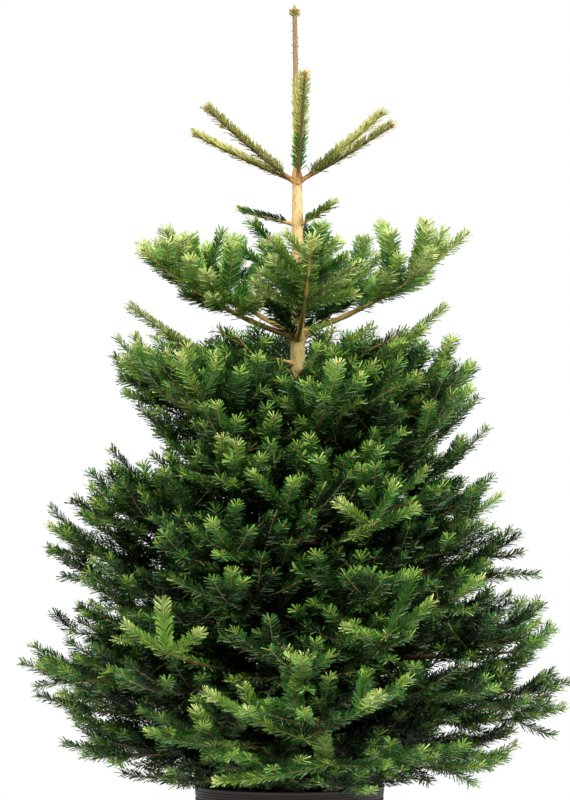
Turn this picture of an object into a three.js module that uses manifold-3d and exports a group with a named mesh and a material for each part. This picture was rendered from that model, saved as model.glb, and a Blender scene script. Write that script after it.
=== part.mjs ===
// A young fir grown as a living Christmas tree, standing in its round nursery pot.
//
// Millimetres, +Z up. The origin is the middle of the pot's flat underside, and -Y is the tree's front.
// The trunk runs from the potting soil to the bud at its tip. Limbs leave it in yearly whorls. In two whorls
// each limb starts as a bare bough and carries its foliage further out; in the others the foliage's own stem
// leaves the trunk. Each mass of foliage is a stem with needled shoots at its sides and end, and has a
// bristling heart where the crown is dense. It keeps to its own space between its neighbours.
import * as THREE from "three";
import { mergeVertices } from "three/addons/utils/BufferGeometryUtils.js";
import Module from "manifold-3d";

const wasm = await Module();
wasm.setup();

// ---- Driving dimensions ----

const GAP = 0.3; // left between pieces that touch
const TREE_TIP = 1672; // height of the terminal bud above the floor

const POT_HEIGHT = 280;
const POT_RIM_RADIUS = 170;
const POT_BASE_RADIUS = 126;
const POT_WALL = 3;
const POT_FLOOR = 4;
const COLLAR_HEIGHT = 27;
const COLLAR_STEP = 5; // how far the collar stands proud of the wall under it
const POT_SIDES = 28;
const SOIL_TOP = POT_HEIGHT - 28;

const TRUNK_FOOT = SOIL_TOP + GAP;
const TRUNK_LEAN = 9; // how far the tip stands to the right of the pot's middle
const TRUNK_BOW = 10; // how far the middle of the trunk bows to the right
const TRUNK_SIDES = 12;
const TRUNK_STEP = 120; // the most between two rings of its mesh
// Height and radius of the trunk: root flare, stem, the thick ring below the leader, the leader and its bud.
const TRUNK_TAPER = [
  [TRUNK_FOOT, 33],
  [TRUNK_FOOT + 14, 26],
  [TRUNK_FOOT + 55, 22.5],
  [700, 18],
  [1081, 12.8],
  [1345, 8.8],
  [1364, 8.8],
  [1384, 5.4],
  [1530, 4.6],
  [1650, 4.0],
  [1661, 8.0],
  [TREE_TIP, 2.0],
];

// The whorls, from the top down. `height` is where the limbs leave the trunk, `reach` how far their tips
// stand out from it and `rise` how much higher the tips are. `heading` turns the first limb, in degrees from
// the tree's right, and the rest follow evenly, drawn sideways by up to `squeeze` degrees. `favours` and
// `lifts` are the extra reach and rise of the limbs on the right. A limb is bare as far as `bare`, a share of
// its length, and `stem` is its radius at the trunk. Limbs are by turns `wave` higher and lower. `pairs` side
// shoots stand on each side of a limb, the first of them `side` times as long as the reach. A dense mass also
// has a heart, `heart` thick either way.
const WHORLS = [
  { name: "whorl2", count: 5, height: 1081, heading: -8, squeeze: 0, reach: 288, rise: 160, favours: 0,
    lifts: 0, arch: 0.5, bare: 0.4, stem: 5.6, wave: 8, pairs: 3, side: 0.42, heart: 0 },
  { name: "whorl3", count: 5, height: 985, heading: 28, squeeze: 8, reach: 285, rise: 125, favours: 0,
    lifts: -6, arch: 0.4, bare: 0, stem: 5, wave: 14, pairs: 2, side: 0.46, heart: 28 },
  { name: "whorl4", count: 5, height: 882, heading: -8, squeeze: 0, reach: 362, rise: 112, favours: -18,
    lifts: -10, arch: 0.5, bare: 0, stem: 6.6, wave: 20, pairs: 2, side: 0.46, heart: 34 },
  { name: "whorl5", count: 6, height: 757, heading: 4, squeeze: 0, reach: 418, rise: 60, favours: -22,
    lifts: 4, arch: 0.6, bare: 0.26, stem: 7.4, wave: 26, pairs: 2, side: 0.44, heart: 36 },
  { name: "whorl6", count: 6, height: 625, heading: -6, squeeze: 0, reach: 452, rise: 40, favours: 2,
    lifts: -25, arch: 0.6, bare: 0, stem: 7.8, wave: 26, pairs: 2, side: 0.44, heart: 38 },
  { name: "whorl7", count: 6, height: 490, heading: 30, squeeze: 9, reach: 508, rise: 8, favours: -8,
    lifts: 26, arch: 0.8, bare: 0, stem: 8.2, wave: 26, pairs: 2, side: 0.42, heart: 40 },
  { name: "whorl8", count: 6, height: 358, heading: 2, squeeze: 0, reach: 440, rise: 5, favours: 10,
    lifts: 5, arch: 0.2, bare: 0, stem: 8.2, wave: 26, pairs: 2, side: 0.42, heart: 42 },
];

// The few limbs of the open top, each by its own heading, reach and rise: the shoots round the leader, and
// two small ones on the stem below them.
const OPEN_TOP = [
  { name: "leader_ring", height: 1357, arch: 0.85, stem: 3.2,
    limbs: [[206, 176, 122], [160, 194, 84], [30, 176, 122], [-20, 176, 92], [-82, 96, 182]] },
  { name: "stem_twigs", height: 1279, arch: 0.9, stem: 2.8,
    limbs: [[190, 104, 22], [-34, 78, 34]] },
];

// The needled end of a limb: where it starts along the limb, how far its needles stand out, its rings of
// teeth and the radius of its core. In the open top it takes in nearly all of the limb that isn't bare.
const END_SHOOTS = {
  leader_ring: { from: 0.1, width: 21, teeth: 6, root: 2.6 },
  stem_twigs: { from: 0.1, width: 19, teeth: 4, root: 2.4 },
  whorl2: { from: 0.44, width: 26, teeth: 5, root: 4.4 },
  dense: { from: 0.8, width: 36, teeth: 3, root: 4 },
};

const SEED_LIMBS = 11;
const HEADING_SPREAD = 6; // degrees either way
const REACH_SPREAD = 0.03;
const RISE_SPREAD = 12;
const OVAL = 0.04; // the crown is this share wider than round from side to side, and narrower front to back
const SHOOT_ANGLE = 48; // degrees between a limb and its side shoots
const SHOOT_ROOT = 5; // radius of a side shoot's core where it leaves the stem
const LAST_SHOOT = 0.34; // length of a shoot at the limb's tip, as a share of one at its start
const OPEN_NEEDLES = 28; // how far the needles of a side shoot stand out in the open top
// In a dense mass a side shoot stands for a spray: its teeth stand out this far, and a share of its length.
const SPRAY_WIDTH = [24, 0.2];
// The shoot that stands over a limb of the open top.
const CREST = { share: 0.45, lift: 52, length: 95, width: 32 };
const HEART_FROM = 0.1; // where the heart of a mass begins and ends, as shares of the way along its limb
const HEART_TO = 0.86;
const HEART_WIDTH = 0.14; // half its width, as a share of the limb's reach
const HEART_RING = 110; // a heart has one ring of teeth for each such length of its limb
const HEART_TEETH = [36, 24]; // how far its teeth stand out sideways and upright
const CROWN_FOOT = POT_HEIGHT + 4; // the lowest foliage hangs down to here
const SPACE_MARGIN = 2.5; // kept between a mass and the edge of its own space
const SHORTER = 0.8; // a shoot that leaves the space is tried again this much shorter
const TRIES = 5;
const SLIVER = 1; // thinner faces are merged where shoots are fused, or a quarter of this on fine shoots

// ---- Small helpers ----

const UP = new THREE.Vector3(0, 0, 1);
const radians = THREE.MathUtils.degToRad;

// A repeatable run of numbers from 0 to 1.
function seeded(seed) {
  let state = seed * 7919 + 12345;
  return () => {
    state = (state * 48271) % 2147483647;
    return state / 2147483647;
  };
}

// The same, from -1 to 1.
const either = (random) => random() * 2 - 1;

// Straight-line interpolation in a short table of [where, value].
function readTable(table, where) {
  const last = table.length - 1;
  if (where <= table[0][0]) return table[0][1];
  for (let i = 0; i < last; i++) {
    const [from, a] = table[i];
    const [to, b] = table[i + 1];
    if (where <= to) return a + ((b - a) * (where - from)) / (to - from);
  }
  return table[last][1];
}

function solidOf(geometry) {
  const bare = geometry.clone();
  bare.deleteAttribute("normal");
  bare.deleteAttribute("uv");
  const merged = mergeVertices(bare, 1e-3);
  return new wasm.Manifold(
    new wasm.Mesh({
      numProp: 3,
      vertProperties: new Float32Array(merged.getAttribute("position").array),
      triVerts: new Uint32Array(merged.index.array),
    }),
  );
}

function geometryOf(solid) {
  const mesh = solid.getMesh();
  const geometry = new THREE.BufferGeometry();
  geometry.setAttribute("position", new THREE.BufferAttribute(mesh.vertProperties, 3));
  geometry.setIndex(new THREE.BufferAttribute(mesh.triVerts, 1));
  geometry.computeVertexNormals();
  return geometry;
}

// Pieces fused into one body, without slivers thinner than `sliver`. Sealed hollows are filled, as the outer
// skin alone is kept, and loose scraps are dropped.
function fuse(solids, sliver) {
  const whole = solids.reduce((sum, next) => sum.add(next));
  const bodies = whole.asOriginal().simplify(sliver).decompose();
  return bodies.reduce((best, body) => (body.volume() > best.volume() ? body : best));
}

// The directions across a curve at `t`: along it, to its left side, and up from it.
function directions(curve, t, side) {
  const step = 0.01;
  const along = curve(Math.min(1, t + step)).sub(curve(Math.max(0, t - step))).normalize();
  const left = side.clone().addScaledVector(along, -side.dot(along)).normalize();
  const up = new THREE.Vector3().crossVectors(along, left);
  return { along, left, up };
}

// A tapered limb: a cylinder of `sides` bent along `curve`, with `radius` given along it. One that leaves the
// trunk starts with an upright end, which lies flat against the bark.
function limbGeometry(sides, segments, curve, radius, side, uprightStart) {
  const geometry = new THREE.CylinderGeometry(1, 1, 1, sides, segments);
  const position = geometry.getAttribute("position");
  for (let i = 0; i < position.count; i++) {
    const t = position.getY(i) + 0.5;
    const upright = uprightStart && t < 1e-6;
    const { left, up } = upright ? { left: side, up: UP } : directions(curve, t, side);
    const r = radius(t);
    const point = curve(t)
      .addScaledVector(left, r * position.getX(i))
      .addScaledVector(up, -r * position.getZ(i));
    position.setXYZ(i, point.x, point.y, point.z);
  }
  return geometry;
}

// ---- Trunk ----

function trunkCentre(height) {
  const share = (height - TRUNK_FOOT) / (TREE_TIP - TRUNK_FOOT);
  const bow = Math.sin(Math.PI * share);
  return new THREE.Vector3(TRUNK_LEAN * share + TRUNK_BOW * bow, -0.5 * TRUNK_BOW * bow, height);
}

const trunkRadius = (height) => readTable(TRUNK_TAPER, height);

function makeTrunk() {
  const heights = [TRUNK_FOOT];
  for (const [height] of TRUNK_TAPER.slice(1)) {
    const last = heights.at(-1);
    const steps = Math.ceil((height - last) / TRUNK_STEP);
    for (let i = 1; i <= steps; i++) heights.push(last + ((height - last) * i) / steps);
  }
  const heightAt = (t) => {
    const place = t * (heights.length - 1);
    const i = Math.min(heights.length - 2, Math.floor(place));
    return heights[i] + (heights[i + 1] - heights[i]) * (place - i);
  };
  const geometry = new THREE.CylinderGeometry(1, 1, 1, TRUNK_SIDES, heights.length - 1);
  const position = geometry.getAttribute("position");
  for (let i = 0; i < position.count; i++) {
    const height = heightAt(position.getY(i) + 0.5);
    const centre = trunkCentre(height);
    const r = trunkRadius(height);
    position.setXYZ(i, centre.x + r * position.getX(i), centre.y - r * position.getZ(i), height);
  }
  return geometry;
}

// ---- Pot and soil ----

const potWallRadius = (height) =>
  POT_BASE_RADIUS +
  ((POT_RIM_RADIUS - COLLAR_STEP - POT_BASE_RADIUS) * height) / (POT_HEIGHT - COLLAR_HEIGHT);

// A lathed body: profile points are [radius, height], from the axis at the bottom round to the axis again.
function lathe(profile) {
  const points = profile.map(([radius, height]) => new THREE.Vector2(radius, height));
  return new THREE.LatheGeometry(points, POT_SIDES).rotateX(Math.PI / 2);
}

function makePot() {
  const step = POT_HEIGHT - COLLAR_HEIGHT;
  const bead = 2; // the collar's lower edge is a thin raised ring this far inside the rim's radius
  const inside = POT_RIM_RADIUS - COLLAR_STEP - POT_WALL;
  return lathe([
    [0, 0],
    [POT_BASE_RADIUS - 5, 0],
    [potWallRadius(6), 6],
    [potWallRadius(step), step],
    [POT_RIM_RADIUS - bead, step],
    [POT_RIM_RADIUS - bead, step + 3],
    [POT_RIM_RADIUS - bead - 1, step + 4],
    [POT_RIM_RADIUS, POT_HEIGHT - 3],
    [POT_RIM_RADIUS - 2, POT_HEIGHT],
    [inside + 2, POT_HEIGHT],
    [inside, POT_HEIGHT - 3],
    [POT_BASE_RADIUS - POT_WALL, POT_FLOOR],
    [0, POT_FLOOR],
  ]);
}

// The pot's inner wall is one straight line from the floor to just under the rim.
function potInside(height) {
  const top = POT_HEIGHT - 3;
  const from = POT_BASE_RADIUS - POT_WALL;
  const to = POT_RIM_RADIUS - POT_WALL - COLLAR_STEP;
  return from + ((to - from) * (height - POT_FLOOR)) / (top - POT_FLOOR);
}

function makeSoil() {
  const foot = POT_FLOOR + GAP;
  const edge = SOIL_TOP - 7;
  const sag = POT_RIM_RADIUS * (1 - Math.cos(Math.PI / POT_SIDES)); // the wall's flats lie inside its corners
  return lathe([
    [0, foot],
    [potInside(foot) - GAP - sag, foot],
    [potInside(edge) - GAP - sag, edge],
    [60, SOIL_TOP],
    [0, SOIL_TOP],
  ]);
}

// ---- The rule that places limbs and their shoots ----

// Where a limb runs: out from the trunk's middle at its whorl, rising along a slight arch.
function limbCurve(limb) {
  const out = new THREE.Vector3(1, 0, 0).applyAxisAngle(UP, radians(limb.heading));
  const foot = trunkCentre(limb.height);
  const barkAt = (height) => trunkRadius(height) + trunkCentre(height).sub(foot).dot(out);
  const start = GAP + Math.max(barkAt(limb.height - limb.stem), barkAt(limb.height + limb.stem));
  return (t) => {
    const reach = start + (limb.reach - start) * t;
    const rise = limb.rise * (limb.arch * t + (1 - limb.arch) * t * t);
    return foot.clone().addScaledVector(out, reach).addScaledVector(UP, rise);
  };
}

const limbRadius = (limb) => (t) => limb.stem * (1 - t) + 1.4 * t;

// The level direction across a limb, to the left of one who looks along it from the trunk.
const sideOf = (limb) => new THREE.Vector3(0, 1, 0).applyAxisAngle(UP, radians(limb.heading));

// How far a whorl runs above its mean height at a heading, so that every other limb is high.
const waveAt = (whorl, heading) => whorl.wave * Math.cos(radians(3 * heading));

// Height of the middle of a whorl at a distance and heading, used to share out the space between whorls.
function whorlHeight(whorl, distance, heading) {
  const t = Math.min(1.5, distance / whorl.reach);
  const rise = whorl.rise + whorl.lifts * Math.cos(radians(heading));
  return whorl.height + waveAt(whorl, heading) + rise * (whorl.arch * t + (1 - whorl.arch) * t * t);
}

// All whorls from the top down, each with its limbs and their seeded differences.
function placeLimbs() {
  const random = seeded(SEED_LIMBS);
  const open = OPEN_TOP.map((whorl) => {
    const mean = (column) =>
      whorl.limbs.reduce((sum, limb) => sum + limb[column], 0) / whorl.limbs.length;
    const height = whorl.height;
    const limbs = whorl.limbs.map(([heading, reach, rise]) => ({ heading, reach, rise, height }));
    return { ...whorl, reach: mean(1), rise: mean(2), lifts: 0, bare: 0, wave: 0, pairs: 0, heart: 0, limbs };
  });
  const full = WHORLS.map((whorl) => {
    const limbs = [];
    for (let i = 0; i < whorl.count; i++) {
      const even = whorl.heading + (360 * i) / whorl.count;
      const drawn = whorl.squeeze * Math.sin(radians(2 * even));
      const heading = even - drawn + HEADING_SPREAD * either(random);
      const toRight = Math.cos(radians(heading));
      const oval = 1 + OVAL * Math.cos(radians(2 * heading));
      const reach = whorl.reach * oval * (1 + REACH_SPREAD * either(random)) + whorl.favours * toRight;
      const rise = whorl.rise + whorl.lifts * toRight + RISE_SPREAD * either(random);
      limbs.push({ heading, reach, rise, height: whorl.height + waveAt(whorl, heading) });
    }
    return { ...whorl, limbs };
  });
  const whorls = [...open, ...full];
  whorls.forEach((whorl) => {
    whorl.limbs.forEach((limb, i) => {
      const turns = whorl.limbs
        .filter((other) => other !== limb)
        .map((other) => (other.heading - limb.heading + 720) % 360);
      limb.name = `${whorl.name}_${i + 1}`;
      limb.arch = whorl.arch;
      limb.stem = whorl.stem;
      limb.toLeft = Math.min(...turns) / 2; // half-way to the next limb on either side, in degrees
      limb.toRight = (360 - Math.max(...turns)) / 2;
    });
  });
  return whorls;
}

// True where a point lies in the space of a limb: clear of the trunk, between the half-way headings to its
// neighbours, and between the surfaces half-way to the whorls above and below. The lowest whorl keeps above
// the foot of the crown, which clears the pot's rim.
function inSpace(point, limb, whorl, above, below) {
  const trunk = trunkCentre(point.z);
  const distance = Math.hypot(point.x - trunk.x, point.y - trunk.y);
  if (distance < trunkRadius(point.z) + SPACE_MARGIN) return false;
  const heading = THREE.MathUtils.radToDeg(Math.atan2(point.y - trunk.y, point.x - trunk.x));
  const turn = ((heading - limb.heading + 900) % 360) - 180;
  const room = turn > 0 ? limb.toLeft - turn : limb.toRight + turn;
  if (distance * Math.sin(radians(Math.min(90, room))) < SPACE_MARGIN) return false;
  const middle = whorlHeight(whorl, distance, heading);
  const ceiling = above ? (middle + whorlHeight(above, distance, heading)) / 2 : Infinity;
  const floor = below ? (middle + whorlHeight(below, distance, heading)) / 2 : CROWN_FOOT;
  return point.z > floor + SPACE_MARGIN && point.z < ceiling - SPACE_MARGIN;
}

// The side shoots of a limb: pairs to its left and right that get shorter outward, and in the open top one
// that stands over it. Each is a straight run from `from` in `direction`, with needles `width` out.
function shootsOf(limb, whorl, random) {
  const curve = limbCurve(limb);
  const shoots = [];
  const add = (share, angle, lift, length, width) => {
    const t = whorl.bare + (1 - whorl.bare) * share;
    const { along, left, up } = directions(curve, t, sideOf(limb));
    const direction = along
      .clone()
      .multiplyScalar(Math.cos(radians(angle)))
      .addScaledVector(left, Math.sin(radians(angle)))
      .addScaledVector(up, Math.sin(radians(lift)))
      .normalize();
    shoots.push({ from: curve(t), direction, length, width });
  };
  for (let pair = 0; pair < whorl.pairs; pair++) {
    const share = (0.94 * (pair + 0.35)) / whorl.pairs;
    const length = limb.reach * whorl.side * (1 - (1 - LAST_SHOOT) * share);
    const width = whorl.heart ? SPRAY_WIDTH[0] + SPRAY_WIDTH[1] * length : OPEN_NEEDLES;
    for (const hand of [1, -1]) {
      const angle = hand * (SHOOT_ANGLE + 6 * either(random));
      add(share + 0.03 * either(random), angle, 8 + 14 * either(random), length, width);
    }
  }
  if (whorl.pairs && !whorl.heart) {
    add(CREST.share, 40 * either(random), CREST.lift, CREST.length, CREST.width);
  }
  return shoots;
}

// ---- Solids of the foliage ----

// A toothed body along `curve`: a core of `sides` faces round and `rings` along, with a pyramid on each face.
// `core(t)` gives its half width and half height, `tooth(t)` those of the pyramids' points, and `lean`
// carries the points forward. The core ends in a cone. A point that `fits` refuses is drawn in to the curve.
function toothedBody({ curve, side, sides, rings, core, tooth, lean, firstCorner, fits = () => true }) {
  const points = [];
  const faces = [];
  const at = (t, turn, width, height) => {
    const { left, up } = directions(curve, t, side);
    const offset = left
      .multiplyScalar(width * Math.cos(radians(turn)))
      .addScaledVector(up, height * Math.sin(radians(turn)));
    let size = 1;
    while (size > 0.2 && !fits(curve(t).addScaledVector(offset, size))) size -= 0.05;
    return curve(t).addScaledVector(offset, size);
  };
  const corner = (i) => firstCorner + (360 * i) / sides;
  const cone = 0.9; // where the end cone begins
  for (let ring = 0; ring <= rings; ring++) {
    const t = (cone * ring) / rings;
    const [width, height] = core(t);
    for (let i = 0; i < sides; i++) points.push(at(t, corner(i), width, height));
  }
  const tip = points.push(curve(1)) - 1;
  for (let ring = 0; ring < rings; ring++) {
    const t = Math.min(0.98, (cone * (ring + 0.5 + lean)) / rings);
    for (let i = 0; i < sides; i++) {
      const [width, height] = tooth(t);
      const apex = points.push(at(t, corner(i + 0.5), width, height)) - 1;
      const a = sides * ring + i;
      const b = sides * ring + ((i + 1) % sides);
      faces.push(a, b, apex, b, b + sides, apex, b + sides, a + sides, apex, a + sides, a, apex);
    }
  }
  for (let i = 1; i < sides - 1; i++) faces.push(0, i + 1, i);
  const end = sides * rings;
  for (let i = 0; i < sides; i++) faces.push(end + i, end + ((i + 1) % sides), tip);
  const geometry = new THREE.BufferGeometry().setFromPoints(points);
  geometry.setIndex(faces);
  return { geometry, points: points.slice(sides) };
}

// A shoot with its needles: a slim three-sided core with rows of forward teeth on top and to each side.
function shootBody({ curve, side, width, teeth, root }) {
  return toothedBody({
    curve,
    side,
    sides: 3,
    rings: teeth,
    core: (t) => [root * (1 - 0.6 * t), root * (1 - 0.6 * t)],
    tooth: (t) => [width * (1 - 0.5 * t), 0.66 * width * (1 - 0.5 * t)],
    lean: 0.75,
    firstCorner: 30,
  });
}

// A side shoot, at a share `size` of its full length.
function sideShoot({ from, direction, length, width }, size) {
  return shootBody({
    curve: (t) => from.clone().addScaledVector(direction, t * size * length),
    side: new THREE.Vector3().crossVectors(UP, direction).normalize(),
    width: size * width,
    teeth: 2,
    root: SHOOT_ROOT,
  });
}

// The needled end of a limb, to its very tip.
function endShoot(limb, { from, width, teeth, root }) {
  const curve = limbCurve(limb);
  return shootBody({ curve: (t) => curve(from + (1 - from) * t), side: sideOf(limb), width, teeth, root });
}

// The heart of a dense mass: a thick toothed body round the stem, narrow at the trunk and at its outer end.
function heartBody(limb, whorl, fits, random) {
  const curve = limbCurve(limb);
  const from = whorl.bare + HEART_FROM * (1 - whorl.bare);
  const run = HEART_TO - from;
  const swell = (t) => 0.5 + 0.5 * Math.sin(Math.PI * (0.12 + 0.76 * t));
  const width = HEART_WIDTH * limb.reach;
  return toothedBody({
    curve: (t) => curve(from + run * t),
    side: sideOf(limb),
    sides: 6,
    rings: Math.round(limb.reach / HEART_RING),
    core: (t) => [width * swell(t), whorl.heart * swell(t)],
    tooth: (t) => {
      const size = swell(t) * (1 + 0.5 * random());
      return [(width + HEART_TEETH[0]) * size, (whorl.heart + HEART_TEETH[1]) * size];
    },
    lean: 0.45,
    firstCorner: 0,
    fits,
  });
}

// A bare bough: from the trunk to where its foliage begins.
function boughGeometry(limb, whorl) {
  const curve = limbCurve(limb);
  const radius = limbRadius(limb);
  const part = (t) => t * whorl.bare;
  return limbGeometry(5, 3, (t) => curve(part(t)), (t) => radius(part(t)), sideOf(limb), true);
}

// The stem of a mass, from the trunk or its bough's end to inside the end shoot.
function stemGeometry(limb, whorl, end) {
  const curve = limbCurve(limb);
  const radius = limbRadius(limb);
  const from = whorl.bare + (whorl.bare ? (GAP * 1.5) / limb.reach : 0);
  const part = (t) => from + (end - from) * t;
  return limbGeometry(3, 3, (t) => curve(part(t)), (t) => radius(part(t)), sideOf(limb), !whorl.bare);
}

// A body is made again shorter until it fits, or left out.
function madeToFit(make, fits) {
  for (let i = 0, size = 1; i < TRIES; i++, size *= SHORTER) {
    const body = make(size);
    if (body.points.every(fits)) return [body.geometry];
  }
  return [];
}

// One mass of foliage: its stem and end shoot, the side shoots that keep to its space, and a heart if dense.
function foliageSolid(limb, whorl, above, below, random) {
  const curve = limbCurve(limb);
  const boughEnd = curve(whorl.bare);
  const outward = directions(curve, whorl.bare, sideOf(limb)).along;
  const fits = (point) =>
    point.clone().sub(boughEnd).dot(outward) > SPACE_MARGIN &&
    inSpace(point, limb, whorl, above, below);
  const end = END_SHOOTS[whorl.name] ?? END_SHOOTS.dense;
  const bodies = [stemGeometry(limb, whorl, end.from + 0.03), endShoot(limb, end).geometry];
  if (whorl.heart) bodies.push(heartBody(limb, whorl, fits, random).geometry);
  for (const shoot of shootsOf(limb, whorl, random)) {
    bodies.push(...madeToFit((size) => sideShoot(shoot, size), fits));
  }
  return fuse(bodies.map(solidOf), whorl.pairs ? SLIVER : SLIVER / 4);
}

// ---- The tree ----

const bark = new THREE.MeshStandardMaterial({ name: "bark", color: 0xa98f5c, roughness: 0.85 });
const needles = new THREE.MeshStandardMaterial({ name: "needles", color: 0x3f6a2c, roughness: 0.6 });
const plastic = new THREE.MeshStandardMaterial({ name: "pot_plastic", color: 0x2f2a28, roughness: 0.5 });
const soil = new THREE.MeshStandardMaterial({ name: "potting_soil", color: 0x33261c, roughness: 1 });

const tree = new THREE.Group();

function addPiece(name, geometry, material) {
  const mesh = new THREE.Mesh(geometry, material);
  mesh.name = name;
  tree.add(mesh);
}

addPiece("pot", makePot(), plastic);
addPiece("potting_soil", makeSoil(), soil);
addPiece("trunk", makeTrunk(), bark);

const whorls = placeLimbs();
whorls.forEach((whorl, level) => {
  whorl.limbs.forEach((limb, i) => {
    const random = seeded(100 * (level + 1) + i);
    if (whorl.bare) addPiece(`bough_${limb.name}`, boughGeometry(limb, whorl), bark);
    const foliage = foliageSolid(limb, whorl, whorls[level - 1], whorls[level + 1], random);
    addPiece(`foliage_${limb.name}`, geometryOf(foliage), needles);
  });
});

export default tree;
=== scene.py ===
import bpy
import numpy as np
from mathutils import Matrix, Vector, noise


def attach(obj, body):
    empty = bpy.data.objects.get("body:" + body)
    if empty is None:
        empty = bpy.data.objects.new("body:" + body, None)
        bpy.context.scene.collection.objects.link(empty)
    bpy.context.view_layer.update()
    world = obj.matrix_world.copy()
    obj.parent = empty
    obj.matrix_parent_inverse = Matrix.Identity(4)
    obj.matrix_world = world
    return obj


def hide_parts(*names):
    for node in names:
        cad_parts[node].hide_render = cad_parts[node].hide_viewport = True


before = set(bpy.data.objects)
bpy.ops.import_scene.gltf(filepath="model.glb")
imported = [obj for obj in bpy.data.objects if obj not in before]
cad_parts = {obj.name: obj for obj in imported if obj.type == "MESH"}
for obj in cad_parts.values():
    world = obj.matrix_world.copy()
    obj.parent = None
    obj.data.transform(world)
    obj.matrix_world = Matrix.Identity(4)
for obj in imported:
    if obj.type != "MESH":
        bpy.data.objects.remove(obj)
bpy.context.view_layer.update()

# ---- Trunk ----
# The stem of the fir, living wood from the root flare at the soil to the slim leader of the last summer. Its
# bark is young and thin: smooth, with shallow upright cracks, and thicker in a ring wherever limbs leave it.
METRE = 1000
TREE_TIP = 1672
TRUNK_FOOT = 252.3
TRUNK_TOP = TREE_TIP - 10  # the wood ends here, in the last bud
TRUNK_LEAN = 9
TRUNK_BOW = 10
TRUNK_TAPER = [  # height and radius
    (TRUNK_FOOT, 33), (266.3, 26), (307.3, 22.5), (700, 18), (1081, 12.8), (1345, 8.8), (1364, 8.8),
    (1384, 5.4), (1530, 4.6), (1650, 4.0), (1661, 3.4),
]
TRUNK_SIDES = 32
TRUNK_RING = 4.5  # from one ring of points to the next
WHORL_HEIGHTS = np.array([358, 490, 625, 757, 882, 985, 1081, 1279, 1357])
SWELL = 0.09  # at each whorl; the depths of swellings, roots and cracks are shares of the trunk's radius
SWELL_RISE = 4  # how far above a whorl the stem is thickest
SWELL_LENGTH = 9
FLARE_TOP = 300
FLARE_HEIGHT = 48
ROOTS = 5
ROOT_TURN = 0.6  # radians
ROOT_DEPTH = 0.12
ROOT_GROOVE = 0.4  # how far the foot as a whole is drawn in between them, as a share of that
SKIN_RADIUS = 30  # relief is read at one radius, so that as many cracks go round the stem at every height
CRACK = (5, 5, 25)  # width, thickness and height
CRACK_DEPTH = 0.045
LUMP = (12, 12, 22)
LUMP_SHARE = 0.6  # of the depth of a crack
RELIEF_APART = 17.3  # how far apart two reliefs are read, in lumps, so that they differ
CLOSED = 0.02  # share of its radius that the end of a limb or trunk is drawn in to
BARK_SHARP = 60  # edges of bark that turn by more degrees stay crisp


def linear(colour):
    """An sRGB hex colour as linear red, green, blue and alpha."""
    shares = [int(colour[i : i + 2], 16) / 255 for i in (1, 3, 5)]
    return [c / 12.92 if c <= 0.04045 else ((c + 0.055) / 1.055) ** 2.4 for c in shares] + [1.0]


def add_node(material, kind, inputs=None, **settings):
    """Adds a node with its settings; each input is given a value, or the output that feeds it."""
    tree = material.node_tree
    node = tree.nodes.new("ShaderNode" + kind)
    for name, value in settings.items():
        setattr(node, name, value)
    for name, value in (inputs or {}).items():
        if isinstance(value, bpy.types.NodeSocket):
            tree.links.new(value, node.inputs[name])
        else:
            node.inputs[name].default_value = value
    return node


def new_material(name, inputs):
    """A material with one glossy-over-matte shader, and that shader."""
    material = bpy.data.materials.new(name)
    material.use_nodes = True
    shader = material.node_tree.nodes["Principled BSDF"]
    for socket, value in inputs.items():
        shader.inputs[socket].default_value = value
    return material, shader


def add_piece(name, points, faces, materials, which=None, sharp=None):
    """A joined mesh from arrays. Points are in millimetres, and faces are arrays of corners, three or four to
    a row; `which` gives each face its material. Edges sharper than `sharp` degrees stay crisp."""
    mesh = bpy.data.meshes.new(name)
    points = np.asarray(points, float).reshape(-1, 3)
    faces = [np.asarray(rows, int) for rows in faces]
    corners = np.concatenate([np.full(len(rows), rows.shape[1]) for rows in faces])
    mesh.vertices.add(len(points))
    mesh.vertices.foreach_set("co", (points / METRE).ravel())
    mesh.loops.add(int(corners.sum()))
    mesh.loops.foreach_set("vertex_index", np.concatenate([rows.ravel() for rows in faces]))
    mesh.polygons.add(len(corners))
    mesh.polygons.foreach_set("loop_start", np.cumsum(corners) - corners)
    if which is not None:
        mesh.polygons.foreach_set("material_index", np.asarray(which, int))
    mesh.polygons.foreach_set("use_smooth", np.full(len(corners), sharp is not None))
    mesh.update(calc_edges=True)
    if sharp is not None:
        mesh.set_sharp_from_angle(angle=np.radians(sharp))
    for material in materials:
        mesh.materials.append(material)
    piece = bpy.data.objects.new(name, mesh)
    bpy.context.scene.collection.objects.link(piece)
    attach(piece, "root")
    return piece


def rings_to_faces(tubes, rings, sides):
    """Four-cornered faces between the rings of tubes whose points are stored tube by tube, ring by ring."""
    i = np.arange(sides)
    around = np.stack([i, (i + 1) % sides, (i + 1) % sides + sides, i + sides], axis=1)
    along = (np.arange(rings - 1) * sides)[:, None, None] + around
    return ((np.arange(tubes) * rings * sides)[:, None, None, None] + along).reshape(-1, 4)


def roughness_of(points, size, seed):
    """Smooth random relief from -1 to 1 at each point; `size` is the size of a lump along x, y and z."""
    places = (points / np.asarray(size, float) + RELIEF_APART * seed).reshape(-1, 3)
    return np.array([noise.noise(Vector(place)) for place in places]).reshape(points.shape[:-1])


def trunk_centre(height):
    """The middle of the stem at a height: it leans to the right, and bows that way and forward."""
    share = (np.asarray(height, float) - TRUNK_FOOT) / (TREE_TIP - TRUNK_FOOT)
    bow = TRUNK_BOW * np.sin(np.pi * share)
    return np.stack([TRUNK_LEAN * share + bow, -0.5 * bow, height + 0 * share], axis=-1)


def trunk_radius(height):
    heights, radii = zip(*TRUNK_TAPER)
    return np.interp(height, heights, radii)


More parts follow.
